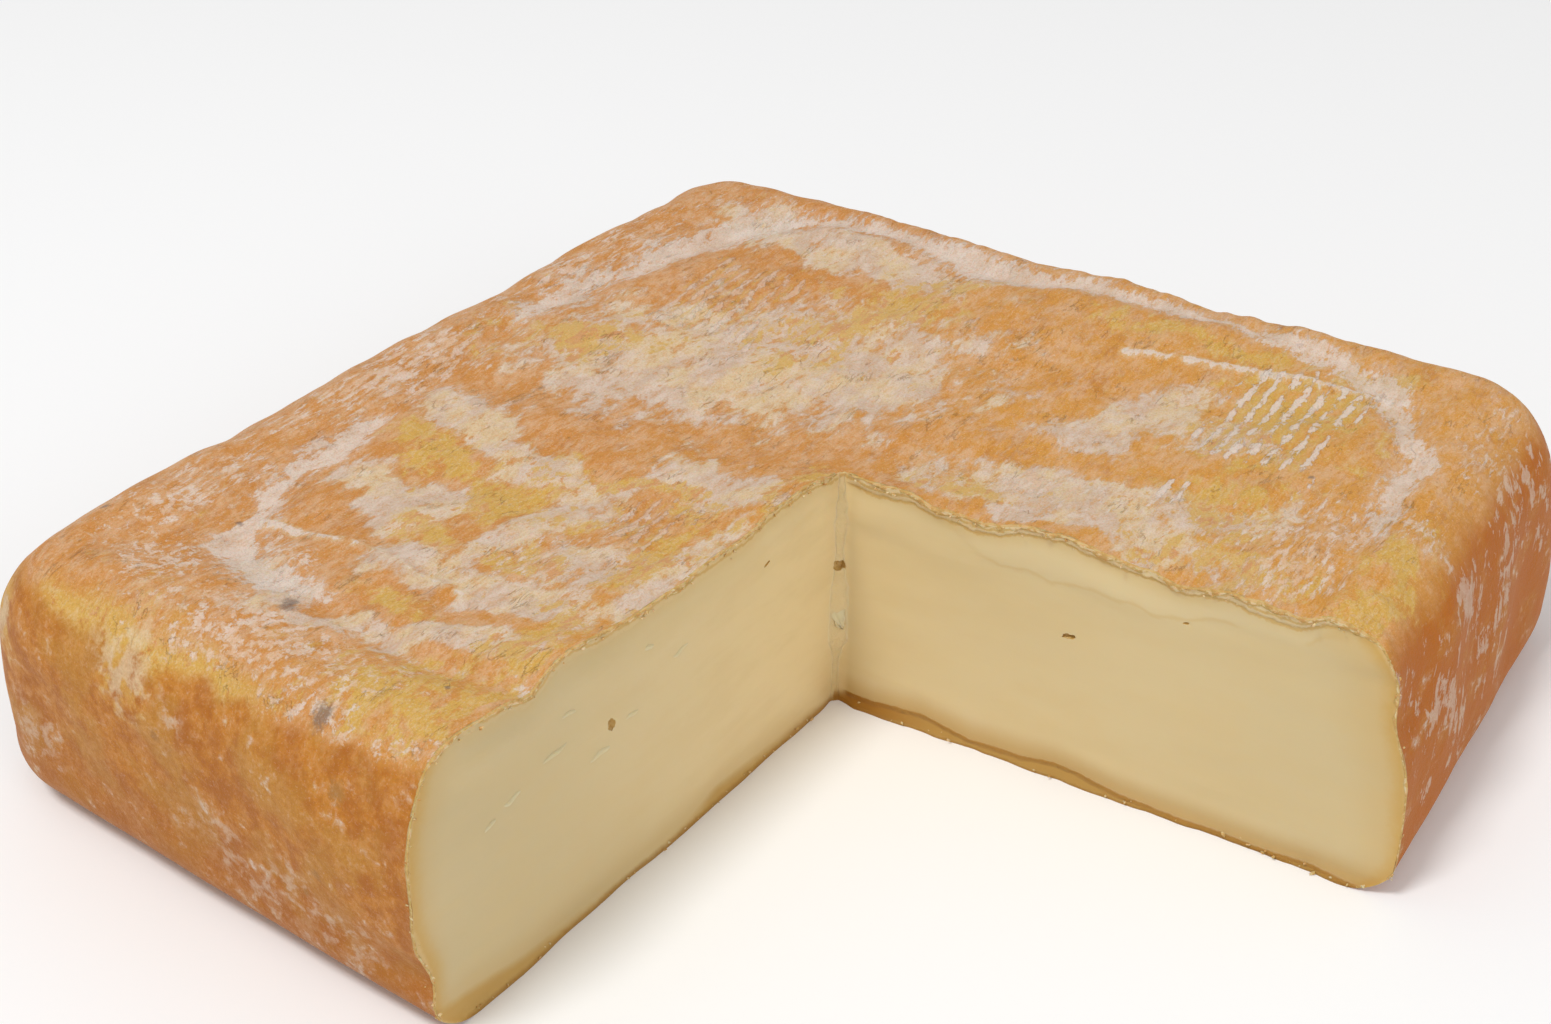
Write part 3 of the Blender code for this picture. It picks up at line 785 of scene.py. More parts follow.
def mark_body(body, look):
    """Writes where the groove, the ribs, the zones of colour and the edges of the cuts are."""
    points = points_of(body)
    x, y, z = points.T
    plan_x, plan_y = x - INNER_FOOT[0], y - INNER_FOOT[1]
    below = np.maximum(top_height(plan_x, plan_y, look) - z, 0)
    mark(body, "below_edge", below / MM)
    mark(body, "smear", smear(plan_x, below) * (np.abs(plan_y) < 4 * MM) * (plan_x > 4 * MM))
    mark(body, "groove", groove_offset(plan_x, plan_y) / MM)
    mark(body, "rib_phase", rib_phase(plan_x, plan_y, look.rib_spacing))
    to_front = inside_side(plan_x, plan_y, FRONT)
    to_right = inside_side(plan_x, plan_y, RIGHT)
    on_left = -plan_y > plan_x
    level = z / np.maximum(z + below, 0.1 * MM)
    to_front_rim = inside_rim(to_front, FRONT, level, FRONT_END_WAVES)
    to_right_rim = inside_rim(to_right, RIGHT, level, RIGHT_END_WAVES)
    mark(body, "to_end", np.where(on_left, to_front_rim, to_right_rim) / MM)
    run = np.where(on_left, -plan_y, plan_x) / MM
    foot = np.where(on_left, np.interp(run, *zip(*LEFT_FOOT)), np.interp(run, *zip(*RIGHT_FOOT)))
    mark(body, "above_foot", z / MM - foot)
    lean = z / MIDDLE_HEIGHT
    turned = -(plan_y - INNER_LEAN[1] * lean) - (plan_x - INNER_LEAN[0] * lean)
    mark(body, "strip", np.clip(turned / inner_fill(z), -4, 4))
    folds = np.maximum.reduce([1 - from_line(plan_x / MM, plan_y / MM, points) / 3 for points, _, _ in FOLDS])
    mark(body, "fold", folds - 0.22 * eased((plan_x + 58 * MM) / (8 * MM)) * (x < 0))
    on_front = (to_front < 16 * MM) * (y < 0)
    # Near the front the change to the darker side colour is short: painted shade of a sharp crest below the
    # top
    near_front = eased((18 * MM - to_front) / (6 * MM)) * (y < 0)
    start = (2 + 1.2 * near_front + 0.7 * uneven(x, y, 9 * MM, seed=74)) * MM
    on_side = eased((below - start) / ((7 - 4.6 * near_front) * MM))
    mark(body, "on_side", on_side)
    mark(body, "rib_field", rib_field(plan_x, plan_y) * (1 - on_side))
    on_right = (to_right < 16 * MM) * (x > 0)
    mark(body, "front_cream", np.where(on_front, in_ovals(x, z, FRONT_PALE), -1))
    side_flaked = np.where(on_right, in_ovals(y, z, RIGHT_PALE), -0.6)
    strayed_x = x + 2.5 * MM * uneven(x, y, 14 * MM, seed=71)
    strayed_y = y + 2.5 * MM * uneven(x, y, 14 * MM, seed=72)
    mark(body, "pale", in_ovals(strayed_x, strayed_y, PALE_PLACES) * (1 - on_side) - 0.5 * on_side)
    mark(body, "white", in_ovals(strayed_x, strayed_y, WHITE_PLACES) * (1 - on_side) + side_flaked * on_side)
    mark(body, "veined", np.where(on_front, in_ovals(x, z, FRONT_VEINED), -1))
    mark(body, "mustard", in_ovals(strayed_x, strayed_y, MUSTARD_PLACES) - on_side)
    mark(body, "bare", in_ovals(x, y, BARE_PLACES))
    crest = bump(below - start - 0.6 * MM, (1.7 + 0.6 * uneven(x, y, 9 * MM, seed=73)) * MM) * on_front
    mark(body, "crest", crest * eased((86 * MM + x) / (8 * MM)) * eased((-24 * MM - x) / (16 * MM)))
    right_end = eased((16 * MM - to_right) / (6 * MM)) * (x > 0)
    mark(body, "right_end", right_end * on_side)


class Number:
    """A number that changes over a surface; arithmetic on it adds Math nodes."""

    def __init__(self, finish, socket):
        self.finish = finish
        self.socket = socket

    def maths(self, operation, *terms):
        return self.finish.node("ShaderNodeMath", {"operation": operation}, dict(enumerate(terms)))

    def __add__(self, other):
        return self.maths("ADD", self, other)

    def __sub__(self, other):
        return self.maths("SUBTRACT", self, other)

    def __rsub__(self, other):
        return self.maths("SUBTRACT", other, self)

    def __mul__(self, other):
        return self.maths("MULTIPLY", self, other)

    __radd__ = __add__
    __rmul__ = __mul__

    def sine(self):
        return self.maths("SINE", self)

    def size(self):
        return self.maths("ABSOLUTE", self)

    def at_least(self, other):
        return self.maths("MAXIMUM", self, other)

    def at_most(self, other):
        return self.maths("MINIMUM", self, other)


class Finish:
    """A material being made. Lengths in its patterns are in millimetres."""

    def __init__(self, name):
        self.material = bpy.data.materials.new(name)
        self.material.use_nodes = True
        self.tree = self.material.node_tree
        self.shader = self.tree.nodes["Principled BSDF"]
        self.colour = None
        metres_where = self.node("ShaderNodeTexCoord", {}, {}, "Object")
        self.where = self.node("ShaderNodeMapping", {}, {"Vector": metres_where, "Scale": (1 / MM,) * 3})

    def node(self, kind, settings, sockets, output=0):
        """Adds a node: its settings first, then the values or links of its sockets."""
        made = self.tree.nodes.new(kind)
        for setting, value in settings.items():
            setattr(made, setting, value)
        for socket, value in sockets.items():
            self.feed(made.inputs[socket], value)
        return Number(self, made.outputs[output])

    def feed(self, socket, value):
        if isinstance(value, Number):
            self.tree.links.new(value.socket, socket)
        else:
            socket.default_value = value

    def marked(self, name):
        settings = {"attribute_type": "GEOMETRY", "attribute_name": name}
        return self.node("ShaderNodeAttribute", settings, {}, "Fac")

    def along(self, axis):
        """The place along one axis, 0 to 2 for X to Z."""
        return self.node("ShaderNodeSeparateXYZ", {}, {0: self.where}, axis)

    def stretched(self, lengths, turn=(0, 0, 0), shift=(0, 0, 0)):
        """The place counted in the given lengths along each axis, after a turn in degrees."""
        angles = tuple(math.radians(angle) for angle in turn)
        moved = {"Vector": self.where, "Rotation": angles, "Location": shift}
        turned = self.node("ShaderNodeMapping", {}, moved)
        scale = tuple(1 / length for length in lengths)
        return self.node("ShaderNodeMapping", {}, {"Vector": turned, "Scale": scale})

    def cloud(self, lengths, detail=3, roughness=0.55, turn=(0, 0, 0), shift=(0, 0, 0), distortion=0.0):
        """Soft noise between 0 and 1 whose blobs are as long as the lengths along each axis."""
        if isinstance(lengths, (int, float)):
            lengths = (lengths,) * 3
        return self.node("ShaderNodeTexNoise", {"noise_dimensions": "3D"}, {
            "Vector": self.stretched(lengths, turn, shift), "Scale": 1.0, "Detail": detail,
            "Roughness": roughness, "Distortion": distortion})

    def between(self, value, low, high):
        """0 below low, 1 above high, and a soft step between them."""
        return self.node("ShaderNodeMapRange", {"interpolation_type": "SMOOTHSTEP"}, {
            0: value, 1: low, 2: high, 3: 0.0, 4: 1.0})

    def blend(self, amount, first, second):
        """Mixes two colours."""
        return self.node("ShaderNodeMix", {"data_type": "RGBA"}, {0: amount, 6: first, 7: second}, 2)

    def cover(self, amount, colour):
        """Lays a colour over the finish, by an amount between 0 and 1."""
        self.colour = self.blend(amount, self.colour, colour)

    def tools(self):
        """What a finish uses most."""
        return self.cloud, self.between, self.blend, self.cover, self.marked

    def pass_over(self, amount, first, second):
        """Mixes two numbers."""
        return self.node("ShaderNodeMix", {"data_type": "FLOAT"}, {0: amount, 2: first, 3: second})

    def relief(self, height, distance, strength=1.0, under=None):
        sockets = {"Strength": strength, "Distance": distance, "Height": height}
        if under:
            sockets["Normal"] = under
        return self.node("ShaderNodeBump", {}, sockets)

    def shade(self, **sockets):
        """Sets the shader's sockets; an underscore in a name stands for a space."""
        for name, value in sockets.items():
            self.feed(self.shader.inputs[name.replace("_", " ")], value)
        return self.material


def rind_finish(look):
    """Orange rind under mustard patches, a pale film, flaking mould, white ribs and a white groove."""
    finish = Finish("washed_rind")
    cloud, between, blend, cover, marked = finish.tools()
    across, along, height = (finish.along(axis) for axis in range(3))
    on_side, right_end = marked("on_side"), marked("right_end")
    pale, white, mustard = marked("pale"), marked("white"), marked("mustard")
    broad = cloud(30, 2)
    drift = cloud((5.4, 9.5, 5.4), 5, 0.58)
    swirl = cloud((2.3, 5.2, 2.3), 7, 0.68, shift=(9, 0, 44), distortion=0.5)
    mottle = finish.pass_over(on_side, cloud((1.5, 3.0, 1.5), 6, 0.68, distortion=0.3), cloud(2.4, 5, 0.64))
    dust = finish.pass_over(on_side, cloud((0.6, 1.3, 0.6), 4, 0.66, shift=(80, 0, 0)), cloud(0.9, 4, 0.62))
    fibre = finish.pass_over(on_side, cloud((0.7, 2.4, 0.7), 5, 0.66, shift=(0, 0, 25), distortion=0.6), dust)
    grain = cloud(0.34, 3, 0.65)

    # The bare rind: the top's ground and the sides', with a thin veil over both
    ground = blend(between(across + 90 * (broad - 0.5), -45, 45), look.orange, look.golden)
    ground = blend(between(0.5 * drift + 0.5 * mottle, 0.49, 0.60) * 0.5, ground, look.deep_orange)
    side = blend(between(0.6 * drift + 0.4 * mottle, 0.40, 0.58), look.deep_orange, look.side_orange)
    side = blend(between(cloud(11, 3, shift=(0, 50, 9)), 0.46, 0.62) * 0.5, side, look.olive)
    side = blend(between(height, 28, 0) * 0.8, side, look.deep_orange)
    side = blend(right_end * (0.9 - 0.3 * between(drift, 0.48, 0.60)), side, look.end_orange)
    finish.colour = blend(on_side, ground, side)
    veil = 0.5 * mottle + 0.5 * cloud((5, 7, 5), 4, 0.6, shift=(0, 0, 70))
    cover(between(veil, 0.42, 0.62) * (0.55 - 0.49 * on_side - 0.06 * right_end), look.blush)
    peach = between(fibre + 0.6 * (veil - 0.5), 0.52, 0.59)
    cover(peach * (0.36 - 0.28 * on_side - 0.08 * right_end), look.blush)
    dark = between(fibre + 0.5 * (dust - 0.5), 0.44, 0.37)
    cover(dark * 0.25, look.deep_orange)

    # Mustard patches and the crest at the top of the front
    island_at = 0.45 * cloud((3.2, 5, 3.2), 7, 0.66, shift=(31, 7, 0), distortion=0.5)
    island_at = island_at + 0.35 * drift + 0.2 * mottle
    island_at = island_at + (0.10 * mustard).at_least(-0.12) + (0.03 * pale).at_least(0)
    yellow = 0.45 * between(island_at, 0.45, 0.56) + 0.5 * between(island_at, 0.515, 0.545)
    crest = marked("crest") * between(0.6 * swirl + 0.4 * dust, 0.38, 0.50)
    yellow = yellow.at_least(crest * 0.95)
    cover(yellow, look.mustard)
    cover(between(dust + 0.4 * (mottle - 0.5), 0.50, 0.60) * yellow * 0.35, look.cream)
    cover(between(fibre, 0.46, 0.38) * yellow * 0.5, look.olive)

    # The pale film, with patches that break through it and fine dark lines painted as shade in its folds
    film_at = 0.42 * drift + 0.38 * swirl + 0.12 * mottle + 0.08 * dust + (0.22 * pale + 0.02).at_most(0.085)
    film = 0.7 * between(film_at, 0.445, 0.565) + 0.3 * between(film_at, 0.495, 0.535)
    holes = between(0.6 * mottle + 0.4 * dust, 0.36, 0.52)
    tint = cloud((8, 10, 8), 4, 0.6, shift=(5, 40, 0))
    film_colour = blend(between(tint, 0.41, 0.57), look.cream, look.lilac)
    film_colour = blend(between(0.5 * veil + 0.5 * swirl, 0.47, 0.58) * 0.6, film_colour, look.white)
    film_colour = blend(between(dust, 0.50, 0.68) * 0.2, film_colour, look.side_orange)
    cover(film * (0.5 + 0.4 * holes), film_colour)
    patch_at = island_at + 0.16 * (mottle - 0.5) + 0.08 * (dust - 0.5)
    patch = 0.5 * between(patch_at, 0.50, 0.57) + 0.5 * between(patch_at, 0.532, 0.558)
    patch = patch * between(film_at, 0.49, 0.53)
    cover(patch * 0.8, blend(between(swirl, 0.49, 0.57), look.mustard, look.orange))
    fold_at = (cloud((2.4, 11, 2.4), 4, 0.55, shift=(40, 0, 0), distortion=0.5) - 0.5).size()
    folds = (1 - between(fold_at, 0.003, 0.018)) * between(cloud(6, 4, 0.6, shift=(0, 90, 0)), 0.54, 0.63)
    folds = folds * (1 - on_side)
    # Painted shade: dark lines in the creases of the folds, which the relief sinks too
    cover(folds * 0.4, look.wrinkle)

    # Cream and veins on the front side
    cream_at = marked("front_cream") + 2.4 * (swirl - 0.5) + 1.6 * (mottle - 0.5)
    front_cream = between(cream_at, -0.2, 0.7) * (0.5 + 0.7 * dust)
    cover(front_cream * 0.75, blend(between(drift, 0.46, 0.54), look.cream, look.mustard))
    veins = 1 - between((cloud(7, 5, 0.62, shift=(3, 3, 3)) - 0.5).size(), 0.01, 0.06)
    smudged = between(marked("veined") + 2.5 * (drift - 0.5), 0.0, 0.5)
    cover(smudged * (0.15 + 0.55 * veins) * between(mottle, 0.42, 0.56) * 0.7, look.lilac)

    # Flaking mould, in streaks on the right side
    clusters = cloud(13, 3, 0.6, shift=(60, 0, 0))
    strokes = cloud((1.0, 3.8, 1.0), 6, 0.68, distortion=0.2)
    strokes = finish.pass_over(between(along, -56, -66), strokes, cloud(1.5, 5, 0.66, distortion=0.3))
    streaks = cloud((3.5, 2.8, 6.0), 6, 0.66, turn=(26, 0, 0), distortion=0.6)
    strokes = finish.pass_over(right_end, strokes, 0.468 + 1.3 * (streaks - 0.5) + 0.5 * (swirl - 0.5))
    spread = 0.35 * (clusters - 0.5) + (0.08 * white).at_most(0.20 * white)
    flakes_at = strokes + spread + 0.15 * (dust - 0.5)
    soft_flakes = (0.45 - 0.4 * right_end) * between(flakes_at, 0.49, 0.61)
    flakes = soft_flakes + (0.55 + 0.25 * right_end) * between(flakes_at, 0.55, 0.595)
    flakes = flakes * (1 - (on_side - right_end).at_least(0) * 0.7)
    flake_colour = blend(between(swirl, 0.42, 0.56) * (0.75 - 0.6 * right_end), look.white, look.blush)
    flake_colour = blend(right_end * 0.65, flake_colour, look.lilac)
    cover(flakes * (0.25 + 0.9 * mottle).at_most(0.8 - 0.05 * right_end), flake_colour)

    # The crests of the two long folds, and the mat's ribs
    fold_crest = marked("fold") + 0.8 * (mottle - 0.5) + 1.3 * (swirl - 0.5) + 0.5 * (dust - 0.5)
    cover(between(fold_crest, 0.45, 0.75) * 0.4, look.cream)
    cover(between(fold_crest, 0.74, 0.86) * 0.8, look.white)
    ribs = (marked("rib_phase") * math.tau).sine()
    broken = 9 * (cloud((1.6, 3.6, 1.6), 5, 0.64) - 0.5) + 3 * (dust - 0.5)
    outside = 4 * (marked("rib_field") - 1)
    rib_white = between(ribs + broken + outside, 0.2, 0.95)
    cover(between(0 - ribs + broken + outside, 0.4, 1.3) * 0.4, look.mustard)
    rib_strength = 0.4 + 0.45 * between(across, 0, 25)
    cover(rib_white * rib_strength, look.white)

    # The mould in the groove
    width = 2.7 + 7 * (cloud(20, 1, shift=(0, 0, 30)) - 0.5) - 4.5 * between(marked("bare"), -0.1, 0.3)
    band_at = width - (marked("groove") + 8 * (cloud(12, 2) - 0.5)).size() - 9 * on_side
    brushed = band_at + 7 * (mottle - 0.5) + 8 * (strokes - 0.5) + 3 * (dust - 0.5)
    band = 0.5 * between(brushed, -0.3, 0.9) + 0.28 * between(brushed, -3, 2)
    band = band * (0.72 + 0.55 * between(0.5 * swirl + 0.5 * dust, 0.38, 0.58)).at_most(1.1)
    cover(band, blend(between(drift, 0.44, 0.58) * 0.6, look.white, look.lilac))

    # Specks, dents and the fine grain
    on_plan = finish.node("ShaderNodeMapping", {}, {"Vector": finish.where, "Scale": (1, 1, 0)})
    on_front = finish.node("ShaderNodeMapping", {}, {"Vector": finish.where, "Scale": (1, 0, 1)})
    spots = [(on_plan, (x, y, 0), radius, look.speck, 0.7) for x, y, radius in SPECKS]
    for x, z, radius in DENTS:
        spots.append((on_front, (x, 0, z), radius, look.wrinkle, 0.75 * between(along, -88, -94)))
    for seen, place, radius, shade, strength in spots:
        apart = finish.node("ShaderNodeVectorMath", {"operation": "DISTANCE"}, {0: seen, 1: place}, 1)
        spot = 1 - between(apart + radius * 1.7 * (dust - 0.5), 0.3 * radius, 1.15 * radius)
        cover(spot * strength, shade)
    cover(between(grain, 0.46, 0.70) * 0.28, look.wrinkle)
    cover(between(grain, 0.44, 0.30) * (0.3 - 0.16 * on_side - 0.1 * right_end), look.white)

    lumps = (0.7 - 0.4 * on_side) * mottle + 0.14 * film + 0.1 * flakes + 0.12 * band
    lumps = lumps + 0.25 * rib_white - 0.3 * folds
    coarse = finish.relief(lumps - 0.1 * patch + 0.3 * dust + 0.2 * fibre, 0.4 * MM, 1.0)
    fine = finish.relief(grain, 0.07 * MM, 1.0, coarse)
    roughness = 0.55 + 0.2 * flakes.at_least(band) - 0.08 * yellow
    finish.shade(Base_Color=finish.colour, Roughness=roughness, Normal=fine)
    return finish.shade(Specular_IOR_Level=0.18, Subsurface_Weight=0.1, Subsurface_Scale=0.001)


def paste_finish(look):
    """Smooth straw paste that turns ochre under the rind and brown along the foot, with painted shade and
    painted light across the cuts.
    """
    finish = Finish("cheese_paste")
    cloud, between, blend, cover, marked = finish.tools()
    height = finish.along(2)
    below, to_end = marked("below_edge"), marked("to_end")
    soft = cloud((22, 22, 12), 4)
    fray = cloud(1.4, 5, 0.65)
    drags = cloud((12, 12, 3), 4, 0.55)
    wave = cloud((15, 15, 30), 2, shift=(9, 4, 0))

    # The paste with painted shade towards the outer ends, painted light near the inner edge, and the film
    # that the knife dragged down
    on_left = between(finish.along(0), 7, 5)
    # Painted shade: darker towards the outer ends of both cuts, and by half over the whole right cut
    right_shade = 0.5 + 0.35 * between(to_end, 50, 5)
    shade = finish.pass_over(on_left, right_shade, between(to_end, 72, 16))
    finish.colour = blend(shade, look.straw, look.shaded)
    # Painted light near the inner edge, most on the left cut
    cover(between(to_end, 58, 96) * (0.15 + 0.62 * on_left), look.bright)
    cover(0.3 * between(0.6 * soft + 0.4 * drags, 0.42, 0.62), look.ochre_straw)
    dragged = marked("smear")
    # Where smear is 2.5, on the torn flap and the ridges, this cream is a painted highlight
    cover(dragged * (0.04 + 0.3 * drags), look.cream)
    # Painted shadow: a darker ochre line along the lower border of the dragged film, under its raised edge
    film_edge_shadow = between(dragged, 0.05, 0.35) * between(dragged, 0.8, 0.4) * between(wave + 0.3 * drags, 0.55, 0.70)
    cover(film_edge_shadow * 0.25, look.ochre)
    # The ripened band along the ends, the top and the foot, and ochre painted as shade along the inner edge
    far = 14 - 5 * on_left - 0.12 * (below - 10).size()
    end_band = 0.65 * between(to_end + 2.0 * (fray - 0.5), 4.0, 0.2)
    end_band = end_band + 0.45 * between(to_end * 14, far * 14, 6)
    foot_at = marked("above_foot") + 0.8 * (drags - 0.5) + 0.5 * (fray - 0.5)
    on_foot = finish.pass_over(on_left, between(foot_at, 0.25, -0.15), between(foot_at, 0.5, -2.2))
    foot_band = ((0.62 - 0.42 * on_left) * between(foot_at, 5.0, 0.0)).at_least(on_foot * 0.95)
    top_band = between(below + 2 * (drags - 0.5), 4.5, 0.8) * (0.45 - 0.1 * on_left)
    turned = marked("strip")
    strip = between(turned.size() + 0.3 * (fray - 0.5), 1.25, 0.9)
    # Painted shade: ochre over the narrow strip in the inner edge and low beside the inner corner
    painted_inner_shade = 0.2 * strip + 0.25 * between(to_end, 93, 99) * between(height, 16, 2)
    band = end_band.at_least(top_band).at_least(painted_inner_shade)
    cover(band * 0.9, look.ochre)
    foot_colour = blend(0.6 * on_left, look.foot_ochre, look.ochre)
    cover(foot_band * 0.95, foot_colour)
    # The torn rind in section, a painted highlight on the inner edge's ridge, and the brown line along the
    # foot, with painted shade near the inner corner
    line_at = below + 1.6 * (fray - 0.5) + 4 * (wave - 0.5)
    lower = (1 - between((line_at - 1.9).size(), 0.1, 0.45)) * (1 - on_left)
    lines = lower.at_least(1 - between((line_at - 0.7).size(), 0.1, 0.4))
    crust = between(below + 1.4 * (fray - 0.5) + 3 * (wave - 0.5), 2.0, 1.3) * (1 - 0.8 * on_left)
    cover(crust * 0.6, look.crust)
    cover(lines * 0.75, look.ochre)
    # Painted highlight: a pale crust-coloured line along the ridge of the inner edge's strip, high up
    ridge = between(turned, 0.9, 1.1) * between(turned + 0.8 * (fray - 0.5), 1.7, 1.3)
    cover(ridge * between(height, 26, 31) * 0.6, look.crust)
    sole = between(foot_at, -1.0, -0.25) * on_foot * (1 - on_left)
    sole = sole + between(height + 0.8 * (fray - 0.5), 0.7 + 0.5 * on_left, 0.2)
    rim = between(to_end + 1.4 * (fray - 0.5), 1.0, 0.2)
    from_corner = finish.node("ShaderNodeVectorMath", {"operation": "DISTANCE"}, {
        0: finish.where, 1: (INNER_FOOT[0] / MM, INNER_FOOT[1] / MM, 0)}, 1)
    # Painted shade: near the inner corner the dark foot colour covers the whole foot band
    inner = between(from_corner, 24, 4) * on_foot
    cover((sole * (0.5 + 0.15 * on_left)).at_least(inner), look.foot)
    cover(rim * 0.3, look.crust)

    surface = finish.relief(0.6 * drags + 0.25 * cloud(2.4, 3), 0.25 * MM, 0.45)
    surface = finish.relief(fray * crust.at_least(sole).at_least(strip), 0.6 * MM, 0.8, surface)
    finish.shade(Base_Color=finish.colour, Roughness=0.42 + 0.14 * fray, Normal=surface)
    return finish.shade(
        Specular_IOR_Level=0.3, Subsurface_Weight=0.25, Subsurface_Scale=0.003,
        Subsurface_Radius=(1.0, 0.6, 0.3))


def eye_finish(look):
    """The darker paste inside the eyes."""
    finish = Finish("eye_paste")
    colour = finish.blend(finish.between(finish.cloud(0.9, 3), 0.5, 0.7), look.ochre, look.ochre_straw)
    return finish.shade(Base_Color=colour, Roughness=0.5)


def crumb_finish(look):
    """Torn rind and crumbs: pale tan, with ochre at the lower border of the torn lip."""
    finish = Finish("rind_crumbs")
    cloud, between, blend, cover, marked = finish.tools()
    patches = cloud((1.3, 1.3, 0.9), 5, 0.64)
    grain = cloud(0.35, 3, 0.6)
    torn = blend(between(patches, 0.50, 0.60) * 0.45, look.ochre, look.foot)
    finish.colour = blend(between(patches, 0.42, 0.54) * 0.9, look.crust, torn)
    border = between(marked("lip") + 1.2 * (patches - 0.5), 0.60, 0.85)
    upper = between(marked("lip") + 0.8 * (patches - 0.5), 0.25, 0.05)
    cover(border * 0.75, look.ochre)
    cover(upper * marked("on_lip") * 0.6, look.ochre)
    cover(0.3 * grain, look.crumb_grain)
    crumbly = finish.relief(grain, 0.12 * MM, 0.6)
    finish.shade(Base_Color=finish.colour, Roughness=0.55 + 0.2 * grain, Normal=crumbly)
    return finish.shade(Specular_IOR_Level=0.35, Subsurface_Weight=0.25, Subsurface_Scale=0.0015)


def model_flap(rind):
    """A thin torn flap of paste on the inner edge, narrower and further off it towards its lower end."""
    height, width, length, tilt = FLAP
    clear_selection()
    bpy.ops.mesh.primitive_grid_add(x_subdivisions=9, y_subdivisions=9, size=1)
    flap = bpy.context.object
    across, up, _ = points_of(flap).T
    down = 0.5 - up
    torn = uneven(across, up, 0.45, seed=int(height / MM))
    side = across * width * (1 - 0.8 * down ** 1.6) + 0.10 * width * torn
    rise = up * length * (1 - 0.45 * np.abs(across))
    off = -0.15 * MM + 0.95 * MM * down ** 1.5 + 0.12 * MM * torn - 0.4 * MM * across ** 2
    side = side + rise * math.tan(math.radians(tilt))
    away = np.array((math.sqrt(0.5), -math.sqrt(0.5), 0))
    beside = np.array((math.sqrt(0.5), math.sqrt(0.5), 0))
    middle = cut_point(0, 0, height, rind)
    points = middle + side[:, None] * beside + off[:, None] * away + rise[:, None] * np.array((0, 0, 1))
    place_points(flap, points)
    pick(flap)
    thickness = flap.modifiers.new("thickness", "SOLIDIFY")
    thickness.thickness = FLAP_THICKNESS
    bpy.ops.object.modifier_apply(modifier="thickness")
    turn_outwards(flap)
    return flap


def model_ridge(rind, run, height, length, width, tilt):
    """A low soft ridge of dragged paste on the left cut, half sunk into it."""
    clear_selection()
    bpy.ops.mesh.primitive_uv_sphere_add(segments=24, ring_count=16, radius=0.5)
    ridge = bpy.context.object
    turned = Euler((math.radians(tilt), 0, 0)).to_matrix().to_4x4()
    ridge.data.transform(turned @ Matrix.Diagonal((width, length, width, 1)))
    points = points_of(ridge)
    points[:, 2] += 0.25 * MM * uneven(points[:, 1], points[:, 1] * 0, 3 * MM, seed=int(run / MM))
    stand = (RIDGE_HEIGHT - 0.5 * width) * np.array((1, 0, 0))
    place_points(ridge, points + cut_point(0, -run, height, rind) + stand)
    bpy.ops.object.shade_smooth()
    return ridge


def edge_path(rind, left):
    """The line of a cut's upper edge, then down its outer end, with the way out of the cut at each point."""
    top = np.arange(LIP_START, HALF, LIP_STEP)
    end = np.arange(1, 0.05, -LIP_STEP / MIDDLE_HEIGHT)
    run = np.concatenate([top, np.full(len(end), HALF)])
    level = np.concatenate([np.ones(len(top)), end])
    still = np.zeros(len(run))
    points = shaped(still, -run, level, rind) if left else shaped(run, still, level, rind)
    turn = math.radians(LEFT_CUT_TURN + 90 if left else RIGHT_CUT_TURN - 90)
    out = np.array((math.cos(turn), math.sin(turn), 0))
    tangent = np.gradient(points, axis=0)
    tangent = tangent / np.linalg.norm(tangent, axis=1)[:, None]
    inward = np.cross(tangent, out) if left else np.cross(out, tangent)
    if inward[0, 2] > 0:
        inward = -inward
    return points, out, inward, run


def ragged(count, cells, seed):
    """A torn row of numbers, mostly between -1 and 1, that turns about every few cells."""
    draw = np.random.default_rng(seed)
    knots = np.arange(0, count + cells, cells)
    return np.interp(np.arange(count), knots, draw.normal(0, 0.6, len(knots)))


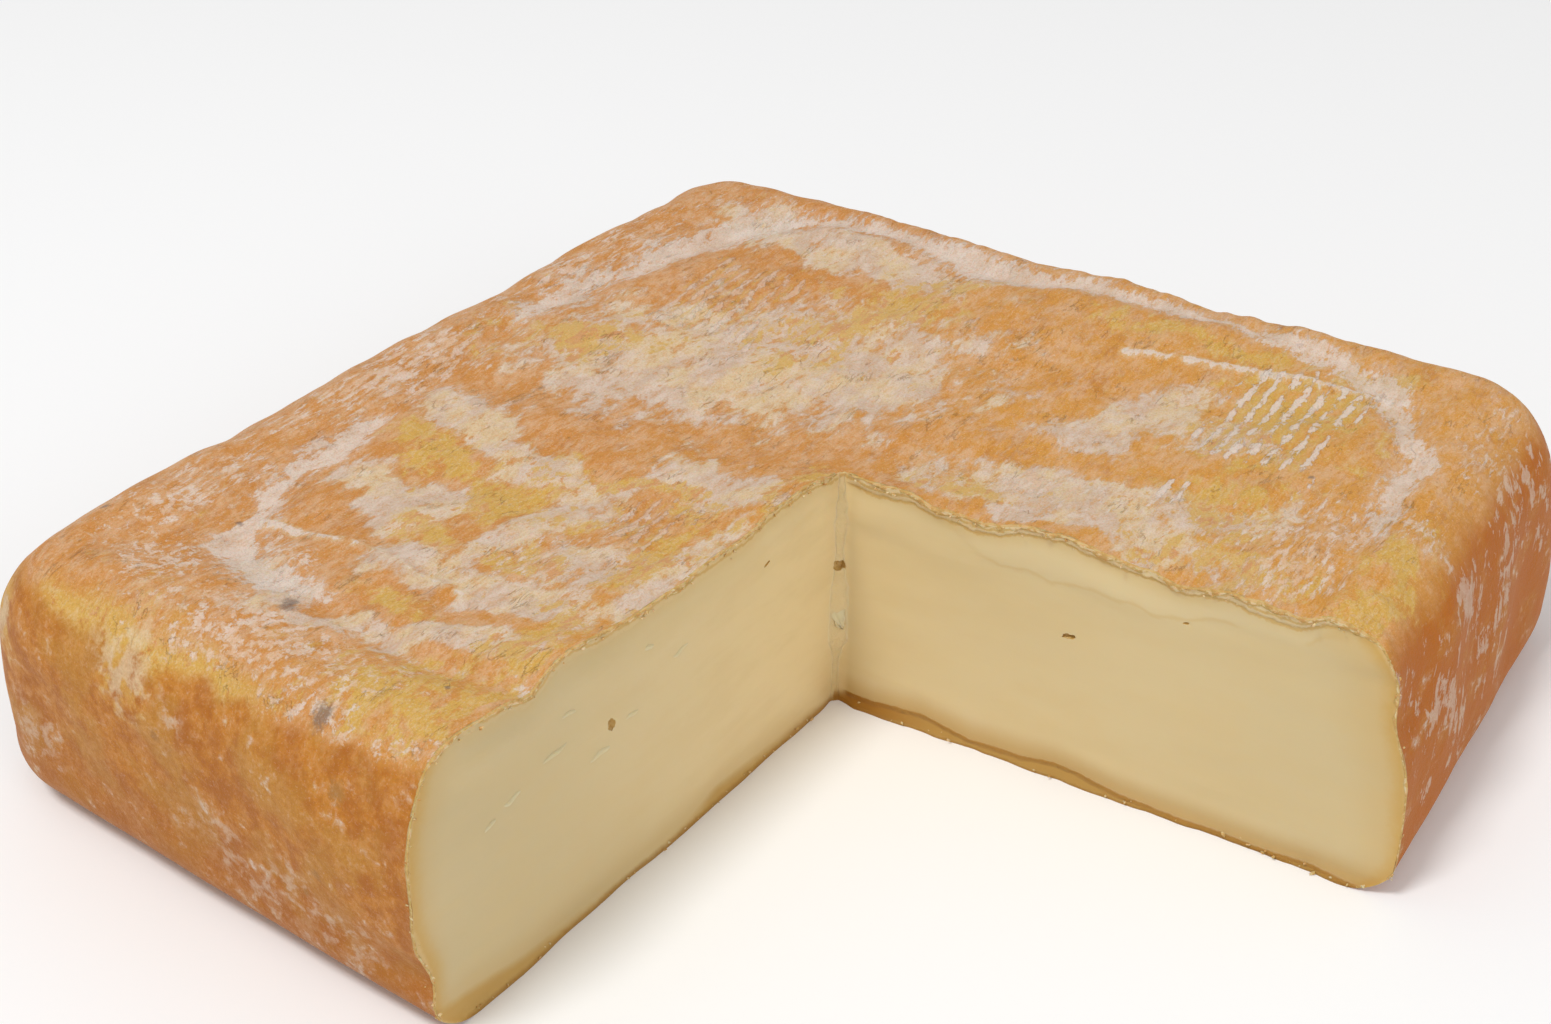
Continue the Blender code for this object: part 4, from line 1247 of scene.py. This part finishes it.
def model_lip(rind, left, seed):
    """The torn lip of rind along a cut: a thin strip of six long edges, ragged along its lower border."""
    points, out, inward, run = edge_path(rind, left)
    rings = len(points)
    clear_selection()
    bpy.ops.mesh.primitive_cylinder_add(vertices=6, radius=1, depth=1)
    lip = bpy.context.object
    bpy.ops.object.mode_set(mode="EDIT")
    choose(lip, "edges", is_upright)
    bpy.ops.mesh.subdivide(number_cuts=rings - 2)
    bpy.ops.object.mode_set(mode="OBJECT")
    plain = points_of(lip)
    ring = np.clip(np.round((plain[:, 2] + 0.5) * (rings - 1)), 0, rings - 1).astype(int)
    angle = np.arctan2(plain[:, 1], plain[:, 0])
    corner = np.round((angle - angle[0]) / (math.pi / 3)).astype(int) % 6
    step = np.arange(rings) * LIP_STEP
    still = np.zeros(rings)
    width = LIP_WIDTH * (1 + 0.7 * uneven(step, still, 12 * MM, seed) + 0.7 * ragged(rings, 7, seed + 1))
    width = (0.75 if left else 1) * width + 0.4 * MM * ragged(rings, 2.6, seed + 2)
    at_end = eased((run - HALF + 6 * MM) / (6 * MM))
    width = np.maximum(width, 0.12 * MM) * (1 - 0.6 * at_end) * eased((run - LIP_START) / (3 * MM) + 0.15)
    crest = (1 + 1.3 * ragged(rings, 3, seed + 3)) * (1 - 0.5 * at_end)
    along = np.array([LIP_SECTION[index] for index in corner])
    proud = (1 + 0.9 * ragged(rings, 3.5, seed + 4)) * (1 - 0.75 * at_end)
    stand = np.where(along[:, 0] > 0, along[:, 0] * proud[ring], along[:, 0])
    sink = along[:, 1] * crest[ring] * MM + along[:, 2] * width[ring]
    place_points(lip, points[ring] + out * (stand * MM)[:, None] + inward[ring] * sink[:, None])
    mark(lip, "lip", along[:, 2])
    mark(lip, "on_lip", np.ones(len(ring)))
    turn_outwards(lip)
    return lip


def model_crumbs(look):
    """A few different crumbs, modelled once each around the origin, one unit long."""
    models = []
    for number in range(5):
        clear_selection()
        bpy.ops.mesh.primitive_ico_sphere_add(subdivisions=2, radius=0.5)
        crumb = bpy.context.object
        bpy.ops.object.mode_set(mode="EDIT")
        bpy.ops.mesh.select_all(action="SELECT")
        bpy.ops.transform.vertex_random(offset=0.13, uniform=0.6, normal=0.4, seed=number + look.seed)
        bpy.ops.transform.resize(value=(1.0, 0.62 - 0.05 * number, 0.34 + 0.07 * number))
        bpy.ops.object.mode_set(mode="OBJECT")
        bpy.ops.object.shade_smooth()
        models.append(crumb)
    return models


def scatter(models, places, size, spread, draw):
    """Copies a crumb to each place, turned and sized at random."""
    copies = []
    for place in places:
        copy = models[draw.integers(len(models))].copy()
        copy.data = copy.data.copy()
        lean = Euler(draw.uniform(-0.7, 0.7, 3)).to_matrix().to_4x4()
        turn = lean @ Matrix.Rotation(draw.uniform(0, 6.28), 4, "Z")
        scale = size * draw.uniform(0.45, 1.35)
        shift = Vector(place) + Vector(draw.normal(0, 1, 3)) * spread
        copy.data.transform(Matrix.Translation(shift) @ turn @ Matrix.Scale(scale, 4))
        bpy.context.collection.objects.link(copy)
        copies.append(copy)
    return copies


def cut_edges(rind, spacing):
    """Places along the upper edge, down the outer end and along the foot of the left and the right cut."""
    steps = np.arange(2 * MM, HALF - 1 * MM, spacing)
    none, full = np.zeros(len(steps)), np.ones(len(steps))
    rises = np.arange(0.06, 0.97, spacing / MIDDLE_HEIGHT)
    still = np.zeros(len(rises))
    return {
        "top": (shaped(none, -steps, full, rind), shaped(steps, none, full, rind)),
        "end": (shaped(still, still - HALF, rises, rind), shaped(still + HALF, still, rises, rind)),
        "foot": (shaped(none, -steps, none + 0.01, rind), shaped(steps, none, none + 0.01, rind)),
    }


def finish_piece(piece, name):
    """Names a finished piece, holds it in the box and lets it ride with the cheese."""
    piece.name = name
    piece.data.name = name
    place_points(piece, held_in(points_of(piece)))
    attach(piece, BODY)


class CHEESE_OT_body(bpy.types.Operator):
    """Models the cheese's closed body with its sunken top, groove, ribs, cuts and eyes"""
    bl_idname = "cheese.body"
    bl_label = "Cheese body"

    def execute(self, context):
        rind, paste = context.scene.cheese_rind, context.scene.cheese_paste
        body = model_block()
        body.data.materials.append(rind_finish(rind))
        body.data.materials.append(paste_finish(paste))
        body.data.materials.append(eye_finish(paste))
        paint_cuts(body)
        form_block(body, rind)
        close_underside(body)
        cut_hollows(body, rind)
        pick(body)
        bpy.ops.object.shade_smooth_by_angle(angle=math.radians(50))
        finish_piece(body, "cheese_body")
        mark_body(body, rind)
        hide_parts("cheese")
        return {"FINISHED"}


class CHEESE_OT_torn_paste(bpy.types.Operator):
    """Lays the torn flap on the inner edge and the low ridges of paste on the left cut"""
    bl_idname = "cheese.torn_paste"
    bl_label = "Torn flap and ridges"

    def execute(self, context):
        rind = context.scene.cheese_rind
        ridges = [model_ridge(rind, *metres(sizes)[0], tilt) for *sizes, tilt in RIDGES]
        torn = joined([model_flap(rind), *ridges])
        torn.data.materials.append(bpy.data.materials["cheese_paste"])
        finish_piece(torn, "torn_paste")
        points = points_of(torn) / MM
        # to_end carries the cuts' painted shade and painted light onto these pieces; smear at 2.5 lays cream
        # thickly as a painted highlight
        mark(torn, "to_end", np.minimum(100 + points[:, 1], 95))
        for name, value in (("below_edge", 12), ("above_foot", 20), ("strip", 4), ("smear", 2.5)):
            mark(torn, name, np.full(len(points), value))
        return {"FINISHED"}


class CHEESE_OT_lips(bpy.types.Operator):
    """Lays the torn lip of rind along the upper edge and the outer end of both cuts"""
    bl_idname = "cheese.lips"
    bl_label = "Torn lips"

    def execute(self, context):
        rind, paste = context.scene.cheese_rind, context.scene.cheese_paste
        lips = joined([model_lip(rind, True, 81), model_lip(rind, False, 91)])
        lips.data.materials.append(crumb_finish(paste))
        finish_piece(lips, "torn_lips")
        return {"FINISHED"}


class CHEESE_OT_crumbs(bpy.types.Operator):
    """Lays torn rind and crumbs along the edges of both cuts"""
    bl_idname = "cheese.crumbs"
    bl_label = "Cut edge crumbs"

    def execute(self, context):
        rind, paste = context.scene.cheese_rind, context.scene.cheese_paste
        draw = np.random.default_rng(paste.seed)
        models = model_crumbs(paste)
        edges = cut_edges(rind, paste.crumb_spacing)
        copies = []
        for name, (share, lift, size, spread) in CRUMB_LINES.items():
            for line in edges[name]:
                sparse = line[draw.random(len(line)) < share] + (0, 0, lift)
                copies += scatter(models, sparse, size * paste.crumb_size, spread, draw)
        count, lift, size, spread = OUTER_FOOT_CRUMBS
        outer_foot = edges["foot"][1][-count::2] + (0, 0, lift)
        copies += scatter(models, outer_foot, size * paste.crumb_size, spread, draw)
        for model in models:
            bpy.data.objects.remove(model)
        crumbs = joined(copies)
        crumbs.data.materials.append(crumb_finish(paste))
        finish_piece(crumbs, "cut_edge_crumbs")
        return {"FINISHED"}


def studio_finish(look):
    """The plain matt floor."""
    return Finish("studio_floor").shade(Base_Color=look.floor, Roughness=0.9, Specular_IOR_Level=0.1)


def add_lamp(name, power):
    """A large soft lamp that faces the cheese."""
    place, size = LAMPS[name]
    light = bpy.data.lights.new(name, "AREA")
    light.energy = power
    light.shape = "DISK"
    light.size = size
    lamp = bpy.data.objects.new(name, light)
    bpy.context.collection.objects.link(lamp)
    lamp.location = place
    lamp.rotation_euler = (Vector(LAMP_AIM) - Vector(place)).to_track_quat("-Z", "Y").to_euler()


def add_camera(look):
    """The camera at the photograph's angle, framed by the photograph's own size in pixels."""
    cos, sin = math.cos, math.sin
    turn, rise, roll = look.azimuth, look.elevation, look.roll
    back = Vector((sin(turn) * cos(rise), -cos(turn) * cos(rise), sin(rise)))
    right = Vector((cos(turn), sin(turn), 0))
    up = back.cross(right)
    right, up = cos(roll) * right + sin(roll) * up, cos(roll) * up - sin(roll) * right
    data = bpy.data.cameras.new("camera")
    camera = bpy.data.objects.new("camera", data)
    bpy.context.collection.objects.link(camera)
    turned = Matrix((right, up, back)).transposed().to_4x4()
    camera.matrix_world = Matrix.Translation(Vector(CAMERA_AIM) + back * look.distance) @ turned
    width, height = PHOTO_SIZE
    data.sensor_width = SENSOR_WIDTH
    data.lens = look.focal_pixels * data.sensor_width / width
    data.shift_x = (width / 2 - PHOTO_MIDDLE[0]) / width
    data.shift_y = (PHOTO_MIDDLE[1] - height / 2) / width
    data.clip_start = 0.01
    bpy.context.scene.camera = camera


class CHEESE_OT_studio(bpy.types.Operator):
    """Sets up the pale floor, the soft lamps and the camera"""
    bl_idname = "cheese.studio"
    bl_label = "Studio"

    def execute(self, context):
        look = context.scene.cheese_studio
        clear_selection()
        bpy.ops.mesh.primitive_plane_add(size=FLOOR_SIZE)
        floor = context.object
        floor.name = "studio_floor"
        floor.data.materials.append(studio_finish(look))
        add_lamp("key", look.key)
        add_lamp("fill", look.fill)
        world = bpy.data.worlds.new("studio_air")
        world.use_nodes = True
        background = world.node_tree.nodes["Background"]
        background.inputs["Color"].default_value = (1, 1, 1, 1)
        background.inputs["Strength"].default_value = look.air
        context.scene.world = world
        context.scene.view_settings.view_transform = "Standard"
        add_camera(look)
        return {"FINISHED"}


class CHEESE_PT_panel(bpy.types.Panel):
    """Lists the pieces of the cheese"""
    bl_idname = "CHEESE_PT_panel"
    bl_label = "Washed-rind cheese"
    bl_space_type = "VIEW_3D"
    bl_region_type = "UI"
    bl_category = "Cheese"

    def draw(self, context):
        for operator in OPERATORS:
            self.layout.operator(operator.bl_idname)
        for name, _ in LOOKS:
            look = getattr(context.scene, name)
            box = self.layout.box()
            for field in look.__annotations__:
                box.prop(look, field)


OPERATORS = (CHEESE_OT_body, CHEESE_OT_torn_paste, CHEESE_OT_lips, CHEESE_OT_crumbs, CHEESE_OT_studio)
LOOKS = (("cheese_rind", RindLook), ("cheese_paste", PasteLook), ("cheese_studio", StudioLook))


def register():
    for name, look in LOOKS:
        bpy.utils.register_class(look)
        setattr(bpy.types.Scene, name, PointerProperty(type=look))
    for kind in (*OPERATORS, CHEESE_PT_panel):
        bpy.utils.register_class(kind)


def unregister():
    for kind in (*OPERATORS, CHEESE_PT_panel):
        bpy.utils.unregister_class(kind)
    for name, look in LOOKS:
        delattr(bpy.types.Scene, name)
        bpy.utils.unregister_class(look)


def main():
    register()
    bpy.ops.cheese.body()
    bpy.ops.cheese.torn_paste()
    bpy.ops.cheese.lips()
    bpy.ops.cheese.crumbs()
    bpy.ops.cheese.studio()


if __name__ == "__main__":
    main()
